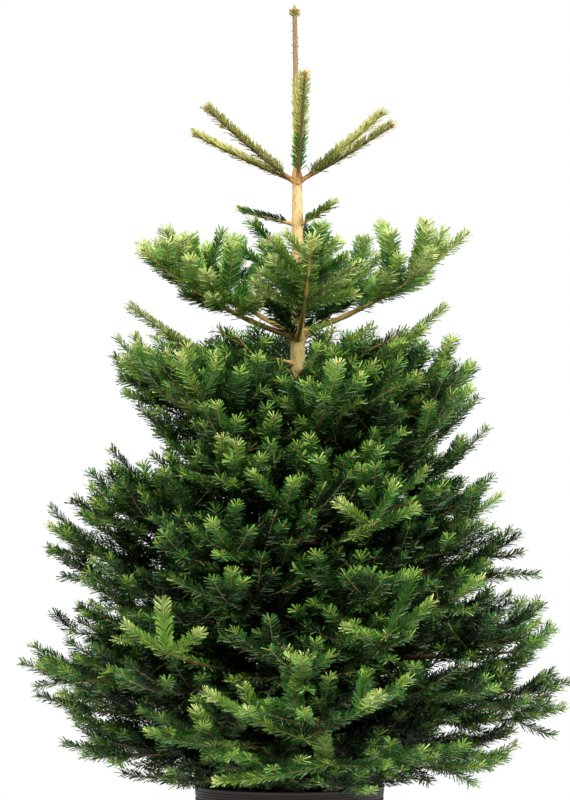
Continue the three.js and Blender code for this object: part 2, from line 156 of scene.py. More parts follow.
def young_bark(name, roughness, span, tints, spacing, detail, fineness, dark, grooves, depth):
    """Thin bark, tinted by height and darker in the grooves of its grain. `tints` are colours at shares of
    the `span` of heights, `spacing` is from groove to groove along x, y and z, `fineness` is how strong the
    finer grain is, and `grooves` is the range of the grain over which it turns `dark`."""
    bark, shader = new_material(name, {"Roughness": roughness, "IOR": 1.45})
    place = add_node(bark, "TexCoord").outputs["Object"]
    height = add_node(bark, "SeparateXYZ", {"Vector": place}).outputs["Z"]
    lowest, highest = span
    share = add_node(
        bark, "MapRange", {"Value": height, "From Min": lowest / METRE, "From Max": highest / METRE},
    )
    tint = add_node(bark, "ValToRGB", {"Fac": share.outputs["Result"]})
    stops = tint.color_ramp.elements
    stops[0].color = linear(tints[0][1])
    stops[1].color = linear(tints[-1][1])
    for stop, colour in tints[1:-1]:
        stops.new(stop).color = linear(colour)
    to_scale = add_node(bark, "Mapping", {"Vector": place, "Scale": [METRE / apart for apart in spacing]})
    grain = add_node(
        bark, "TexNoise",
        {"Vector": to_scale.outputs["Vector"], "Scale": 1, "Detail": detail, "Roughness": fineness},
    ).outputs["Fac"]
    groove = add_node(bark, "MapRange", {"Value": grain, "From Min": grooves[0], "From Max": grooves[1]})
    shaded = add_node(
        bark, "MixRGB",
        {"Fac": groove.outputs["Result"], "Color1": tint.outputs["Color"], "Color2": linear(dark)},
    )
    bark.node_tree.links.new(shaded.outputs["Color"], shader.inputs["Base Color"])
    dent = add_node(bark, "Bump", {"Height": grain, "Strength": 0.5, "Distance": depth / METRE})
    bark.node_tree.links.new(dent.outputs["Normal"], shader.inputs["Normal"])
    return bark


trunk_heights = np.arange(TRUNK_FOOT, TRUNK_TOP, TRUNK_RING)
turns = np.arange(TRUNK_SIDES) * 2 * np.pi / TRUNK_SIDES
radial = np.stack([np.cos(turns), np.sin(turns), 0 * turns], axis=1)
off_whorls = trunk_heights[:, None] - WHORL_HEIGHTS - SWELL_RISE
swell = np.exp(-((off_whorls / SWELL_LENGTH) ** 2)).sum(1) * SWELL
flare = np.clip((FLARE_TOP - trunk_heights) / FLARE_HEIGHT, 0, 1) ** 2
ridges = ROOT_DEPTH * flare[:, None] * (np.cos(ROOTS * turns + ROOT_TURN) - ROOT_GROOVE)
skin = trunk_centre(trunk_heights)[:, None, :] + SKIN_RADIUS * radial
cracks = roughness_of(skin, CRACK, seed=1)
cracks += LUMP_SHARE * roughness_of(skin, LUMP, seed=2)
radius = trunk_radius(trunk_heights)[:, None] * (1 + swell[:, None] + ridges + CRACK_DEPTH * cracks)
radius[[0, -1]] *= CLOSED
trunk_points = trunk_centre(trunk_heights)[:, None, :] + radius[..., None] * radial
walls = rings_to_faces(1, len(trunk_heights), TRUNK_SIDES)

# Fir bark on a young stem, thin and cream to olive: dull, with darker cracks, three to a centimetre, and
# greener on the leader, whose skin is only one summer old.
trunk_bark = young_bark(
    "young_fir_bark", roughness=0.82, span=(250, 1670),
    tints=[
        (0, "#5f5338"), (0.5, "#7b7140"), (0.585, "#96874f"), (0.66, "#b0975f"), (0.765, "#b49c6b"),
        (0.782, "#a87a45"), (0.8, "#8f7d33"), (0.88, "#8d7c3c"), (0.93, "#765f43"), (1, "#705a42"),
    ],
    spacing=(10 / 3, 10 / 3, 100 / 7), detail=4, fineness=0.65,
    dark="#74492c", grooves=(0.52, 0.68), depth=1.2,
)
trunk = add_piece("trunk_bark", trunk_points, [walls], [trunk_bark], sharp=BARK_SHARP)
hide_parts("trunk")

# ---- Boughs ----
# Limbs leave the trunk in whorls, one whorl for each summer. Each is one tapering bough of living wood, as
# rough as the trunk, with a slight ring at the end of each year's growth and a swollen collar at its foot.
GAP = 0.3  # between a limb and the trunk
# A heading is in degrees from +X towards the back, and reach and rise say where a limb ends. In a whorl,
# `squeeze`, `favours`, `lifts` and `wave` alter headings, reaches, rises and heights by where a limb points.
# `arch` is the share of its rise that a limb gains evenly; the rest comes towards its end. Its `pairs` of
# shoots begin beyond the share `bare` of its length, and are at most a `side` of its reach long.
WHORLS = [
    dict(name="whorl2", count=5, height=1081, heading=-8, squeeze=0, reach=288, rise=160, favours=0, lifts=0,
         arch=0.5, bare=0.4, stem=5.6, wave=8, pairs=3, side=0.42),
    dict(name="whorl3", count=5, height=985, heading=28, squeeze=8, reach=285, rise=125, favours=0, lifts=-6,
         arch=0.4, bare=0, stem=5, wave=14, pairs=2, side=0.46),
    dict(name="whorl4", count=5, height=882, heading=-8, squeeze=0, reach=362, rise=112, favours=-18,
         lifts=-10, arch=0.5, bare=0, stem=6.6, wave=20, pairs=2, side=0.46),
    dict(name="whorl5", count=6, height=757, heading=4, squeeze=0, reach=418, rise=60, favours=-22, lifts=4,
         arch=0.6, bare=0.26, stem=7.4, wave=26, pairs=2, side=0.44),
    dict(name="whorl6", count=6, height=625, heading=-6, squeeze=0, reach=452, rise=40, favours=2, lifts=-25,
         arch=0.6, bare=0, stem=7.8, wave=26, pairs=2, side=0.44),
    dict(name="whorl7", count=6, height=490, heading=30, squeeze=9, reach=508, rise=8, favours=-8, lifts=26,
         arch=0.8, bare=0, stem=8.2, wave=26, pairs=2, side=0.42),
    dict(name="whorl8", count=6, height=358, heading=2, squeeze=0, reach=440, rise=5, favours=10, lifts=5,
         arch=0.2, bare=0, stem=8.2, wave=26, pairs=2, side=0.42),
]
OPEN_TOP = [
    dict(name="leader_ring", height=1357, arch=0.85, stem=3.2,
         limbs=[(206, 176, 122), (160, 194, 84), (30, 176, 122), (-20, 176, 92), (-82, 96, 182)]),
    dict(name="stem_twigs", height=1279, arch=0.9, stem=2.8, limbs=[(190, 104, 22), (-34, 78, 34)]),
]
SEED_LIMBS = 11
HEADING_SPREAD = 6  # seeded differences, up and down
REACH_SPREAD = 0.03
RISE_SPREAD = 12
OVAL = 0.04  # how much further than the mean all whorls reach to both sides
BOUGH_SIDES = 8
BOUGH_RINGS = 44
LESSER_SIDES = 6
LESSER_RINGS = 24
BOUGH_END = 0.98  # share of its line that a limb's wood covers
BOUGH_TIP = 1.6  # radius there
SUNK = 5  # how far its foot reaches back, into the trunk
COLLAR = 0.45  # swelling at the foot, as a share of the radius
COLLAR_LENGTH = 7
YEAR_GROWTH = 95  # from one yearly ring of a bough to the next
YEAR_RING = 88  # where in that growth the ring lies
YEAR_SWELL = 0.13
YEAR_RING_LENGTH = 5
FINE_RELIEF = 0.13  # of the radius
FINE_LUMP = 4
COARSE_RELIEF = 0.07
COARSE_LUMP = 9


def seeded(seed):
    """A repeatable run of numbers from 0 to 1."""
    state = seed * 7919 + 12345

    def draw():
        nonlocal state
        state = state * 48271 % 2147483647
        return state / 2147483647

    return draw


def either(random):
    return random() * 2 - 1


def cos(degrees):
    return float(np.cos(np.radians(degrees)))


def sin(degrees):
    return float(np.sin(np.radians(degrees)))


def bent_axis(limb):
    """A limb's line as root, run and bend: the point at a share t of the way is root + run t + bend t t."""
    out = np.array([cos(limb["heading"]), sin(limb["heading"]), 0])
    foot = trunk_centre(limb["height"])
    edges = np.array([limb["height"] - limb["stem"], limb["height"] + limb["stem"]])
    start = GAP + max(trunk_radius(edges) + (trunk_centre(edges) - foot) @ out)
    rise = np.array([0, 0, limb["rise"]])
    return foot + start * out, out * (limb["reach"] - start) + rise * limb["arch"], rise * (1 - limb["arch"])


def place_limbs():
    """All whorls from the top down, each with its limbs and their seeded differences."""
    random = seeded(SEED_LIMBS)
    placed = []
    for whorl in OPEN_TOP:
        limbs = [dict(heading=a, reach=b, rise=c, height=whorl["height"]) for a, b, c in whorl["limbs"]]
        placed.append({**whorl, "pairs": 0, "limbs": limbs})
    for whorl in WHORLS:
        limbs = []
        for i in range(whorl["count"]):
            even = whorl["heading"] + 360 * i / whorl["count"]
            heading = even - whorl["squeeze"] * sin(2 * even) + HEADING_SPREAD * either(random)
            reach = whorl["reach"] * (1 + OVAL * cos(2 * heading)) * (1 + REACH_SPREAD * either(random))
            reach += whorl["favours"] * cos(heading)
            rise = whorl["rise"] + whorl["lifts"] * cos(heading) + RISE_SPREAD * either(random)
            height = whorl["height"] + whorl["wave"] * cos(3 * heading)  # every other limb is high
            limbs.append(dict(heading=heading, reach=reach, rise=rise, height=height))
        placed.append({**whorl, "limbs": limbs})
    for level, whorl in enumerate(placed):
        for i, limb in enumerate(whorl["limbs"]):
            others = [other for other in whorl["limbs"] if other is not limb]
            gaps = [(other["heading"] - limb["heading"] + 720) % 360 for other in others]
            limb.update(
                name=f"{whorl['name']}_{i + 1}", level=level, arch=whorl["arch"], stem=whorl["stem"],
                half_gap=min(gaps) / 2,
            )
            limb["axis"] = bent_axis(limb)
    return placed


def points_on(axes, t):
    """The points at shares t of many bent axes: one row of t for each axis."""
    root, run, bend = (np.asarray(column, float)[:, None, :] for column in axes)
    t = np.asarray(t, float)[..., None]
    return root + run * t + bend * t * t


def directions_on(axes, t):
    """The directions along, to the left and up, at shares t of many bent axes."""
    run, bend = (np.asarray(column, float)[:, None, :] for column in axes[1:])
    along = run + 2 * bend * np.asarray(t, float)[..., None]
    along /= np.linalg.norm(along, axis=-1, keepdims=True)
    left = np.stack([-along[..., 1], along[..., 0], 0 * along[..., 0]], axis=-1)
    left /= np.linalg.norm(left, axis=-1, keepdims=True)
    return along, left, np.cross(along, left)


def tubes_on(axes, t, radii, sides):
    """Rings of points round many bent axes, with a radius for each ring or each point of it."""
    _, left, up = directions_on(axes, t)
    turns = np.arange(sides) * 2 * np.pi / sides
    around = np.cos(turns)[:, None] * left[:, :, None, :] + np.sin(turns)[:, None] * up[:, :, None, :]
    radii = np.asarray(radii, float)
    radii = radii[..., None, None] if radii.ndim == 2 else radii[..., None]
    return points_on(axes, t)[:, :, None, :] + radii * around


CROWN_REACH = np.array([  # height, and how far the crown reaches there
    (296, 366), (305, 392), (323, 404), (358, 440), (430, 460), (483, 492), (537, 483), (608, 430),
    (644, 448), (697, 416), (733, 406), (769, 430), (804, 384), (858, 332), (894, 300), (947, 316),
    (983, 350), (1054, 314), (1126, 284), (1145, 215), (1165, 205), (1197, 264), (1250, 296),
    (1264, 272), (1290, 215), (1340, 150),
]).T
CROWN_FAVOURS = np.array([  # height, and how much further it reaches on the right than on average
    (287, 80), (305, 78), (323, 52), (358, 26), (430, 22), (483, 8), (537, 16), (608, 12), (644, 16),
    (697, -20), (769, -16), (804, -2), (858, -28), (894, 45), (947, 5), (983, 2), (1054, -20), (1126, -5),
    (1161, 0),
]).T
DENSE_TOP = np.array([  # distance from the trunk, and the height that the dense whorls stay below there
    (0, 1064), (50, 1098), (150, 1110), (200, 1090), (235, 1064), (262, 1076), (284, 1116),
]).T
TOP_LEAN = 0.13  # and they are lower on the left by this share of the way out
OVER_RIM = (185, 293)  # within this distance of the trunk nothing hangs lower than this height
BARE_STEM = (1000, 1130, 26)  # the stem shows at the front between these heights, and as far to each side
TRUNK_CLEAR = 2  # from the trunk to where a shoot may end
OPEN_WHORL = 2  # levels are counted from the top
FIRST_DENSE = 3
LIMB_END = 60  # how far inside the crown's reach a dense limb ends, so that its last shoots end at it
CUT = 0.97  # a limb that is too long is shortened to this share of its length, again and again
MOST_CUTS = 16
LESSER_SEED = 77
LESSER_FORM = dict(arch=0.4, stem=3.8)
LESSER_RISE = 0.52  # how much of the rise of the whorls they have, beyond the least
LEAST_RISE = 20
LESSER_REACH = 0.94
LESSER_SPREAD = dict(heading=15, height=10, reach=0.1, rise=14)
SKIRT = dict(drop=130, reach=0.86, rise=-14)  # the rows under the lowest whorl; the drop is for a share of 1
# Rows of lesser limbs: how far below the whorl above each stands, as a share of the way to its own whorl, and
# whether it is turned by half a gap. A row below 0 stands under the lowest whorl.
ROWS_BETWEEN = dict(
    whorl3=[(0.6, False)],
    whorl4=[(0.45, True), (0.7, False), (0.95, False)],
    whorl5=[(0.3, True), (0.7, False)],
    whorl6=[(0.3, True), (0.7, False)],
    whorl7=[(0.3, True), (0.7, False)],
    whorl8=[(0.32, True), (0.68, False), (-0.12, True), (-0.42, False)],
)
# The shoots of a spray: how far along it, which way (along it, to its left and up), how long, and what shoots
# they bear, listed in the same way.
SIDE_FAN = [
    (0.98, (0.92, 0, 0.38), 108, []), (0.98, (0.8, 0.58, 0.15), 92, []), (0.98, (0.8, -0.58, 0.15), 92, []),
    (0.78, (0.7, 0.7, 0), 98, []), (0.78, (0.7, -0.7, 0), 98, []),
]
SPRAYS = [  # sprays that stand out at the front and the sides
    dict(heading=273, height=374, reach=400, rise=14, fan=[
        (0.98, (0.25, -0.24, 1), 150, [(0.5, (0.75, 0.6, -0.1), 92), (0.46, (-0.1, -0.95, -0.2), 90),
                                       (0.56, (0.8, 0.35, -0.2), 70)]),
        (0.98, (0.35, 0.88, 0.45), 205, [(0.52, (0.6, 0.2, 0.7), 66), (0.55, (0.7, -0.7, 0), 74)]),
        (0.96, (0.35, -0.9, 0.36), 192, [(0.45, (0.6, -0.3, 0.6), 62), (0.5, (0.6, 0.8, 0), 84)]),
    ]),
    dict(heading=293, height=452, reach=420, rise=112, fan=[
        (0.98, (0.34, 0.45, 0.83), 114, []), (0.98, (0.58, 0.71, 0.38), 92, []),
        (0.97, (-0.2, -0.92, 0.3), 72, []), (0.84, (-0.1, -0.9, 0.25), 62, []),
        (0.8, (0.7, 0.6, 0.2), 84, []),
    ]),
    dict(heading=291, height=690, reach=372, rise=62, fan=[
        (0.98, (0.5, 0.42, 0.72), 96, []), (0.96, (0.3, -0.8, 0.4), 74, []), (0.95, (0.5, 0.85, 0.2), 80, []),
    ]),
    dict(heading=239, height=468, reach=428, rise=66, fan=[
        (0.98, (0.2, -0.1, 0.9), 82, []), (0.97, (0.4, 0.85, 0.25), 92, []),
        (0.97, (0.6, -0.6, 0.35), 84, []),
    ]),
    dict(heading=280, height=334, reach=385, rise=10, fan=[
        (0.98, (-0.15, -0.96, -0.2), 195, [(0.5, (0.6, -0.5, 0.4), 84), (0.5, (0.7, 0.6, 0), 84)]),
        (0.96, (0.6, 0.75, -0.05), 110, []), (0.9, (0.5, -0.2, 0.6), 84, []),
    ]),
    dict(heading=250, height=352, reach=392, rise=22, fan=[
        (0.98, (0.5, -0.75, 0.1), 112, []), (0.98, (0.6, 0.5, -0.2), 92, []), (0.9, (0.6, -0.2, 0.5), 84, []),
    ]),
    dict(heading=180, height=616, reach=360, rise=80, fan=SIDE_FAN),
    dict(heading=178, height=735, reach=256, rise=62, fan=SIDE_FAN),
    dict(heading=-3, height=430, reach=380, rise=64, fan=SIDE_FAN),
    dict(heading=183, height=350, reach=322, rise=26, fan=SIDE_FAN),
    dict(heading=-4, height=334, reach=326, rise=18, fan=SIDE_FAN),
    dict(heading=-10, height=318, reach=308, rise=-8, fan=SIDE_FAN),
    dict(heading=181, height=982, reach=170, rise=66, level=2, fan=[
        (0.98, (1, 0, -0.04), 150, []), (0.98, (0.8, 0.6, -0.1), 92, []), (0.9, (0.7, -0.7, -0.1), 84, []),
    ]),
    dict(heading=-1, height=978, reach=160, rise=72, level=2, fan=[
        (0.98, (1, 0, -0.02), 146, []), (0.98, (0.8, -0.6, -0.1), 92, []), (0.9, (0.7, 0.7, -0.1), 84, []),
    ]),
    dict(heading=184, height=892, reach=252, rise=100, fan=[
        (0.98, (0.85, 0.1, 0.5), 92, []), (0.98, (0.8, 0.6, 0.05), 92, []),
        (0.98, (0.75, -0.66, 0.05), 92, []), (0.9, (0.94, 0, -0.3), 88, []),
        (0.7, (0.6, -0.8, 0), 100, []), (0.7, (0.6, 0.8, 0), 100, []),
    ]),
]
SPRAY_FORM = dict(arch=0.5, stem=4.6)
SPRAY_BELOW = 50  # a spray belongs to the first whorl that stands less than this above it


def in_crown(point, level, slack=0, under=0):
    """True where a point of a whorl's growth lies clear of the trunk and the pot, within the crown's reach at
    its height plus `slack`, and `under` below the top of the dense crown."""
    x, y, height = point - [*trunk_centre(point[2])[:2], 0]
    distance = float(np.hypot(x, y))
    reach = np.interp(height, *CROWN_REACH) + np.interp(height, *CROWN_FAVOURS) * x / distance
    lowest = OVER_RIM[1] if distance < OVER_RIM[0] else CROWN_REACH[0, 0]
    roof = np.interp(distance, *DENSE_TOP) + TOP_LEAN * min(0, x) - under
    highest = roof if level >= FIRST_DENSE else TREE_TIP
    if BARE_STEM[0] < height < BARE_STEM[1] and abs(x) < BARE_STEM[2] and y < 0:
        return False
    return lowest < height < highest and trunk_radius(height) + TRUNK_CLEAR < distance < reach + slack


def bough_mesh(limbs, rings, sides):
    """Points and faces of rough tapering limbs, with yearly rings and swollen collars sunk in the trunk."""
    axes = [np.array([limb["axis"][i] for limb in limbs]) for i in range(3)]
    lengths = np.linalg.norm(axes[1] + axes[2], axis=1)[:, None]
    t = np.concatenate([[0], np.linspace(0, BOUGH_END, rings), [BOUGH_END]]) * np.ones_like(lengths)
    t[:, :2] -= SUNK / lengths
    stems = np.array([limb["stem"] for limb in limbs])[:, None]
    along = t * lengths
    radii = stems * (1 - t) + BOUGH_TIP * t
    collar = COLLAR * np.exp(-along / COLLAR_LENGTH)
    year_rings = YEAR_SWELL * np.exp(-(((along % YEAR_GROWTH) - YEAR_RING) / YEAR_RING_LENGTH) ** 2)
    radii *= 1 + collar + year_rings
    points = tubes_on(axes, t, radii, sides)
    relief = 1 + FINE_RELIEF * roughness_of(points, FINE_LUMP, seed=3)
    relief += COARSE_RELIEF * roughness_of(points, COARSE_LUMP, seed=4)
    relief[:, [0, -1]] *= CLOSED
    return tubes_on(axes, t, radii[..., None] * relief, sides), rings_to_faces(len(limbs), rings + 2, sides)


def lesser_limbs():
    """Thinner limbs that leave the trunk between the whorls, in rows, fanned between the limbs above."""
    random = seeded(LESSER_SEED)
    found = []
    for level in range(FIRST_DENSE, len(whorls)):
        whorl = whorls[level]
        above = whorls[level - 1]
        for row, turned in ROWS_BETWEEN[whorl["name"]]:
            followed = above["limbs"] if row > 0 else whorl["limbs"]
            for limb in followed:
                share = abs(row)
                heading = limb["heading"] + (limb["half_gap"] if turned else 0)
                heading += LESSER_SPREAD["heading"] * either(random)
                if row > 0:
                    height = above["height"] + share * (whorl["height"] - above["height"])
                    reach = above["reach"] + share * (whorl["reach"] - above["reach"])
                    rise = above["rise"] + share * (whorl["rise"] - above["rise"])
                    rise = LEAST_RISE + LESSER_RISE * rise
                else:
                    height = whorl["height"] - SKIRT["drop"] * share
                    reach = whorl["reach"] * SKIRT["reach"]
                    rise = SKIRT["rise"]
                height += LESSER_SPREAD["height"] * either(random)
                reach *= LESSER_REACH + LESSER_SPREAD["reach"] * either(random)
                rise += LESSER_SPREAD["rise"] * either(random)
                lesser = dict(heading=heading, height=height, reach=reach, rise=rise, level=level)
                lesser |= LESSER_FORM
                lesser["axis"] = bent_axis(lesser)
                found.append(lesser)
    return found


def cut_back(limb):
    """Shortens a limb of the dense crown until it ends well inside the crown."""
    for _ in range(MOST_CUTS):
        root, run, bend = limb["axis"]
        if in_crown(root + run + bend, limb["level"], -LIMB_END):
            break
        limb["axis"] = root, CUT * run, CUT * bend


def level_below(height):
    """The level of the first whorl that stands below a height."""
    return next(level for level, whorl in enumerate(whorls) if whorl["height"] < height)


whorls = place_limbs()
limbs = [limb for whorl in whorls for limb in whorl["limbs"]]
lessers = lesser_limbs()
for limb in limbs + lessers:
    if limb["level"] >= FIRST_DENSE:
        cut_back(limb)
sprays = []
for spray in SPRAYS:
    spray = dict(level=level_below(spray["height"] + SPRAY_BELOW)) | SPRAY_FORM | spray
    spray["axis"] = bent_axis(spray)
    sprays.append(spray)

# The same fir bark on limbs: grey-brown low down, ochre where the whorl is young, and dark brown on last
# summer's shoots, flecked with the scars that old needles leave about 3 mm apart. The ochre is partly painted
# light where that whorl stands in the light, and the dark brown partly painted shade, as under the shoots of
# the ring.
limb_bark = young_bark(
    "fir_limb_bark", roughness=0.78, span=(950, 1500),
    tints=[(0, "#5d4a30"), (0.3, "#a8934a"), (0.74, "#a07a3c"), (0.77, "#4d3819"), (1, "#453115")],
    spacing=[100 / 33] * 3, detail=3, fineness=0.7,
    dark="#6d4426", grooves=(0.5, 0.64), depth=1,
)

points, faces = bough_mesh(limbs, BOUGH_RINGS, BOUGH_SIDES)
boughs = add_piece("bough_bark", points, [faces], [limb_bark], sharp=BARK_SHARP)
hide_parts(*[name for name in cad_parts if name.startswith("bough_")])
points, faces = bough_mesh(lessers + sprays, LESSER_RINGS, LESSER_SIDES)
lesser_boughs = add_piece("lesser_bough_bark", points, [faces], [limb_bark], sharp=BARK_SHARP)

# ---- Twigs ----
# Where each summer's growth began, a pair of side shoots and one that stands up leave a limb, and the longer
# of them bear more in the same way. They are tough thin wood, ochre at first and brown where they are older.
YEAR = 110  # a summer's growth
YEAR_SPREAD = 0.14
SHOOT_ANGLE = 48  # angles, turns and lifts are in degrees
SHOOT_TURN = 6
SHOOT_LIFT = 8
SHOOT_LIFT_SPREAD = 14
SHOOT_SHIFT = 0.03
SHOOTS_END = 0.94  # share of a limb that its pairs of shoots cover
FIRST_PAIR = 0.35
LAST_SHOOT = 0.34  # length of the last of them, as a share of the first
CREST = dict(share=0.45, turn=40, lift=52, length=95)
HEART_RING = 110  # the heart of a limb's solid has a ring of teeth for each of these lengths
HEART_TEETH = 6
LATERAL_ANGLE = 44
LATERAL_TURN = 8
LATERAL_LIFT = 10
LATERAL = 0.86  # length of a side shoot, as a share of what its bearer grew since
LATERAL_LOSS = 0.0008  # how much of that share is lost for each millimetre further back
LATERAL_END = 0.97  # share of its bearer beyond which none leaves
LENGTH_SPREAD = 0.2
LAST_AT = 0.98  # where the last shoot of a limb leaves it
LAST_TURN = 8
LAST_LIFT = 0.85
BARE_FOOT = 22  # no yearly shoots leave a limb or twig this near its foot
TOP_SHOOT = dict(lift=16, spread=9, length=84)
TOP_CHANCE = 0.35  # of one on a twig; a limb has one each year
UNDER_SHOOT = dict(lift=-34, spread=-8, length=80)
MIDDLE_TURN = 30
LEAST_SHOOT = 62  # shorter ones are left out
SHORTER = 0.87  # a shoot that leaves the crown is shortened to this share of its length, again and again
TRIES = 4
INSIDE_AT = [[0.6, 1.0]]  # the shares of a shoot that have to lie inside the crown
UPTURN = 0.12
TWIG_UPTURN = 0.7 * UPTURN
TWIG_LIFT = 8
TAPER = 150  # for each of these lengths a twig's foot is 1 mm of radius thicker
LIFTS = dict(whorl2=22, whorl3=19, whorl4=27, whorl5=29, whorl6=26, whorl7=21, whorl8=9)
STANDS_OUT = 12  # how far past the crown's reach the last shoot of a limb may go
BEHIND = 8  # how far inside the crown's reach all others end
UNEVEN = 34  # and how much further inside some have to
TWIG_BEHIND = 14  # and how much further again the shoots that they bear
BACK_SLACK = 30  # how far past it the open whorl goes at the back
SPRAY_SLACK = 30
OPEN_FAN = [
    (0.66, (0.75, 0.66, 0.3), 108), (0.66, (0.75, -0.66, 0.3), 108), (0.7, (0.95, 0.15, 0.55), 98),
    (0.52, (0.5, -0.62, 0.72), 96), (0.6, (0.3, 0.35, 1), 104), (0.42, (0.6, -0.8, 0.1), 104),
    (0.34, (0.3, 0.9, 0.4), 92), (0.48, (0.5, 0.86, -0.05), 104),
]
LOOSE_WAY = 0.2
LOOSE_LENGTH = 0.22
LIMB_TIP = 1.4  # radii
LESSER_TIP = 1.2
SPRAY_TIP = 1.6
FOOT_BARE = 0.1  # share of a limb without needles of its own
LIMB_BARE = 0.3
SPRAY_BARE = 0.5
SPRAY_LIGHTER = 0.42  # how much lighter the front sprays are coloured: partly young growth, partly painted light where they stand out in front
# and how much lighter those at the sides are coloured, as painted light
SIDE_LIGHTER = 0.1
TWIG_SEED = 5000
LESSER_TWIG_SEED = 901
GOLDEN_TURN = 360 * 0.381966
TRUNK_SHOOT_SEED = 333
TRUNK_SHOOTS_BELOW = 60  # each belongs to the first whorl that stands less than this above it
# `reach` is how far they reach at least, and how much further some do: shares of the crown's reach for those
# in the dense crown, and millimetres above it.
# `fresh` below 0 colours their needles darker, as painted shade.
TRUNK_SHOOTS = dict(
    lowest=300, highest=1010, step=8, turn=20, rise=0.3, reach=(0.38, 0.26), bend=20, fresh=-0.1,
)
UPPER_SHOOTS = dict(
    lowest=1064, highest=1196, step=9, turn=96, rise=0.5, reach=(92, 40), bend=10, fresh=-0.35,
)


def aside(angle, lift):
    """A way off a limb as shares along it, to its left and up, for an angle to the left and a lift."""
    return cos(angle), sin(angle), sin(lift)


def shoot_from(axis, t, way, length, upturn):
    """The bent axis of a side shoot that leaves its bearer at share t of the way."""
    one = [np.array([part]) for part in axis]
    way = sum(share * direction[0, 0] for share, direction in zip(way, directions_on(one, np.array([[t]]))))
    way = way * length / np.linalg.norm(way)
    bend = np.array([0, 0, upturn * length])
    return points_on(one, np.array([[t]]))[0, 0], way - 0.5 * bend, bend


def length_of(axis):
    return float(np.linalg.norm(axis[1] + axis[2]))


shoots = []


def keep_shoot(axis, order, place, tip=0.85, thick=None, bare=0.0):
    """Adds a shoot to the list; `place` says which whorl it belongs to, and in `fresh` how much lighter or
    darker its needles are coloured, partly painted light and shade.
    """
    length = length_of(axis)
    shoots.append(dict(
        root=axis[0], run=axis[1], bend=axis[2], order=order, length=length, tip=tip,
        thick=thick or tip + length / TAPER, bare=bare, **place,
    ))


def middle_shoot(at, lift, form, random):
    """A shoot on the top or the underside of a limb."""
    way = aside(MIDDLE_TURN * either(random), lift + form["lift"] + form["spread"] * either(random))
    return at, way, form["length"] * (1 + LENGTH_SPREAD * either(random))


def year_shoots(length, lift, random, ends=False):
    """The side shoots of a twig or limb: how far along, which way and how long. `ends` is True for a limb,
    whose last summer's growth is a shoot of its own."""
    year = YEAR * (1 + YEAR_SPREAD * either(random))
    whole = length + (year if ends else 0)
    found = [(LAST_AT, aside(LAST_TURN * either(random), LAST_LIFT * lift), year)] if ends else []
    back = year
    while back < whole - BARE_FOOT:
        at = min(LATERAL_END, (whole - back) / length)
        side = back * (LATERAL - LATERAL_LOSS * back)
        for hand in (1, -1):
            angle = hand * (LATERAL_ANGLE + LATERAL_TURN * either(random))
            way = aside(angle, lift + LATERAL_LIFT * either(random))
            found.append((at, way, side * (1 + LENGTH_SPREAD * either(random))))
        if ends or random() < TOP_CHANCE:
            found.append(middle_shoot(at, lift, TOP_SHOOT, random))
        if ends:
            found.append(middle_shoot(at, lift, UNDER_SHOOT, random))
        back += year
    return found


def grow(axis, order, place, random, slack=0, bears=None):
    """Keeps a shoot, cut shorter until it stays inside the crown, and lets it bear its own side shoots, those
    listed in `bears` or seeded ones."""
    for _ in range(TRIES):
        checked = points_on([np.array([part]) for part in axis], INSIDE_AT)[0]
        if all(in_crown(point, place["level"], slack, max(0, -slack)) for point in checked):
            break
        axis = (axis[0], axis[1] * SHORTER, axis[2] * SHORTER)
    else:
        return
    if length_of(axis) < LEAST_SHOOT:
        return
    keep_shoot(axis, order, place)
    if bears is None:
        bears = year_shoots(length_of(axis), TWIG_LIFT, random)
    for at, way, length in bears:
        behind = TWIG_BEHIND * random()
        grow(shoot_from(axis, at, way, length, TWIG_UPTURN), order + 1, place, random, slack - behind)


def grow_all(limb, found, place, random, slack=STANDS_OUT):
    """Lets a limb bear the listed side shoots. The one at its end stands out; the others stay behind it."""
    for at, way, length in found:
        behind = 0 if at >= LAST_AT or place["level"] < FIRST_DENSE else BEHIND + UNEVEN * random()
        grow(shoot_from(limb["axis"], at, way, length, UPTURN), 2, place, random, slack - behind)


def first_shoots(whorl, limb, random):
    """The side shoots that the limb's solid has, drawn as they are for it."""
    found = []
    if limb["level"] >= FIRST_DENSE:
        for _ in range(HEART_TEETH * round(limb["reach"] / HEART_RING)):
            random()  # the teeth of the solid's heart are drawn first
    for pair in range(whorl["pairs"]):
        share = SHOOTS_END * (pair + FIRST_PAIR) / whorl["pairs"]
        length = limb["reach"] * whorl["side"] * (1 - (1 - LAST_SHOOT) * share)
        for hand in (1, -1):
            angle = hand * (SHOOT_ANGLE + SHOOT_TURN * either(random))
            at = whorl["bare"] + (1 - whorl["bare"]) * (share + SHOOT_SHIFT * either(random))
            found.append((at, aside(angle, SHOOT_LIFT + SHOOT_LIFT_SPREAD * either(random)), length))
    if limb["level"] == OPEN_WHORL:
        at = whorl["bare"] + (1 - whorl["bare"]) * CREST["share"]
        found.append((at, aside(CREST["turn"] * either(random), CREST["lift"]), CREST["length"]))
    return found


def loosely(found, random):
    """The same shoots, each a little longer or shorter and turned a little."""
    turned = []
    for at, way, length in found:
        way = np.array(way) + [LOOSE_WAY * either(random) for _ in range(3)]
        turned.append((at, way, length * (1 + LOOSE_LENGTH * either(random))))
    return turned


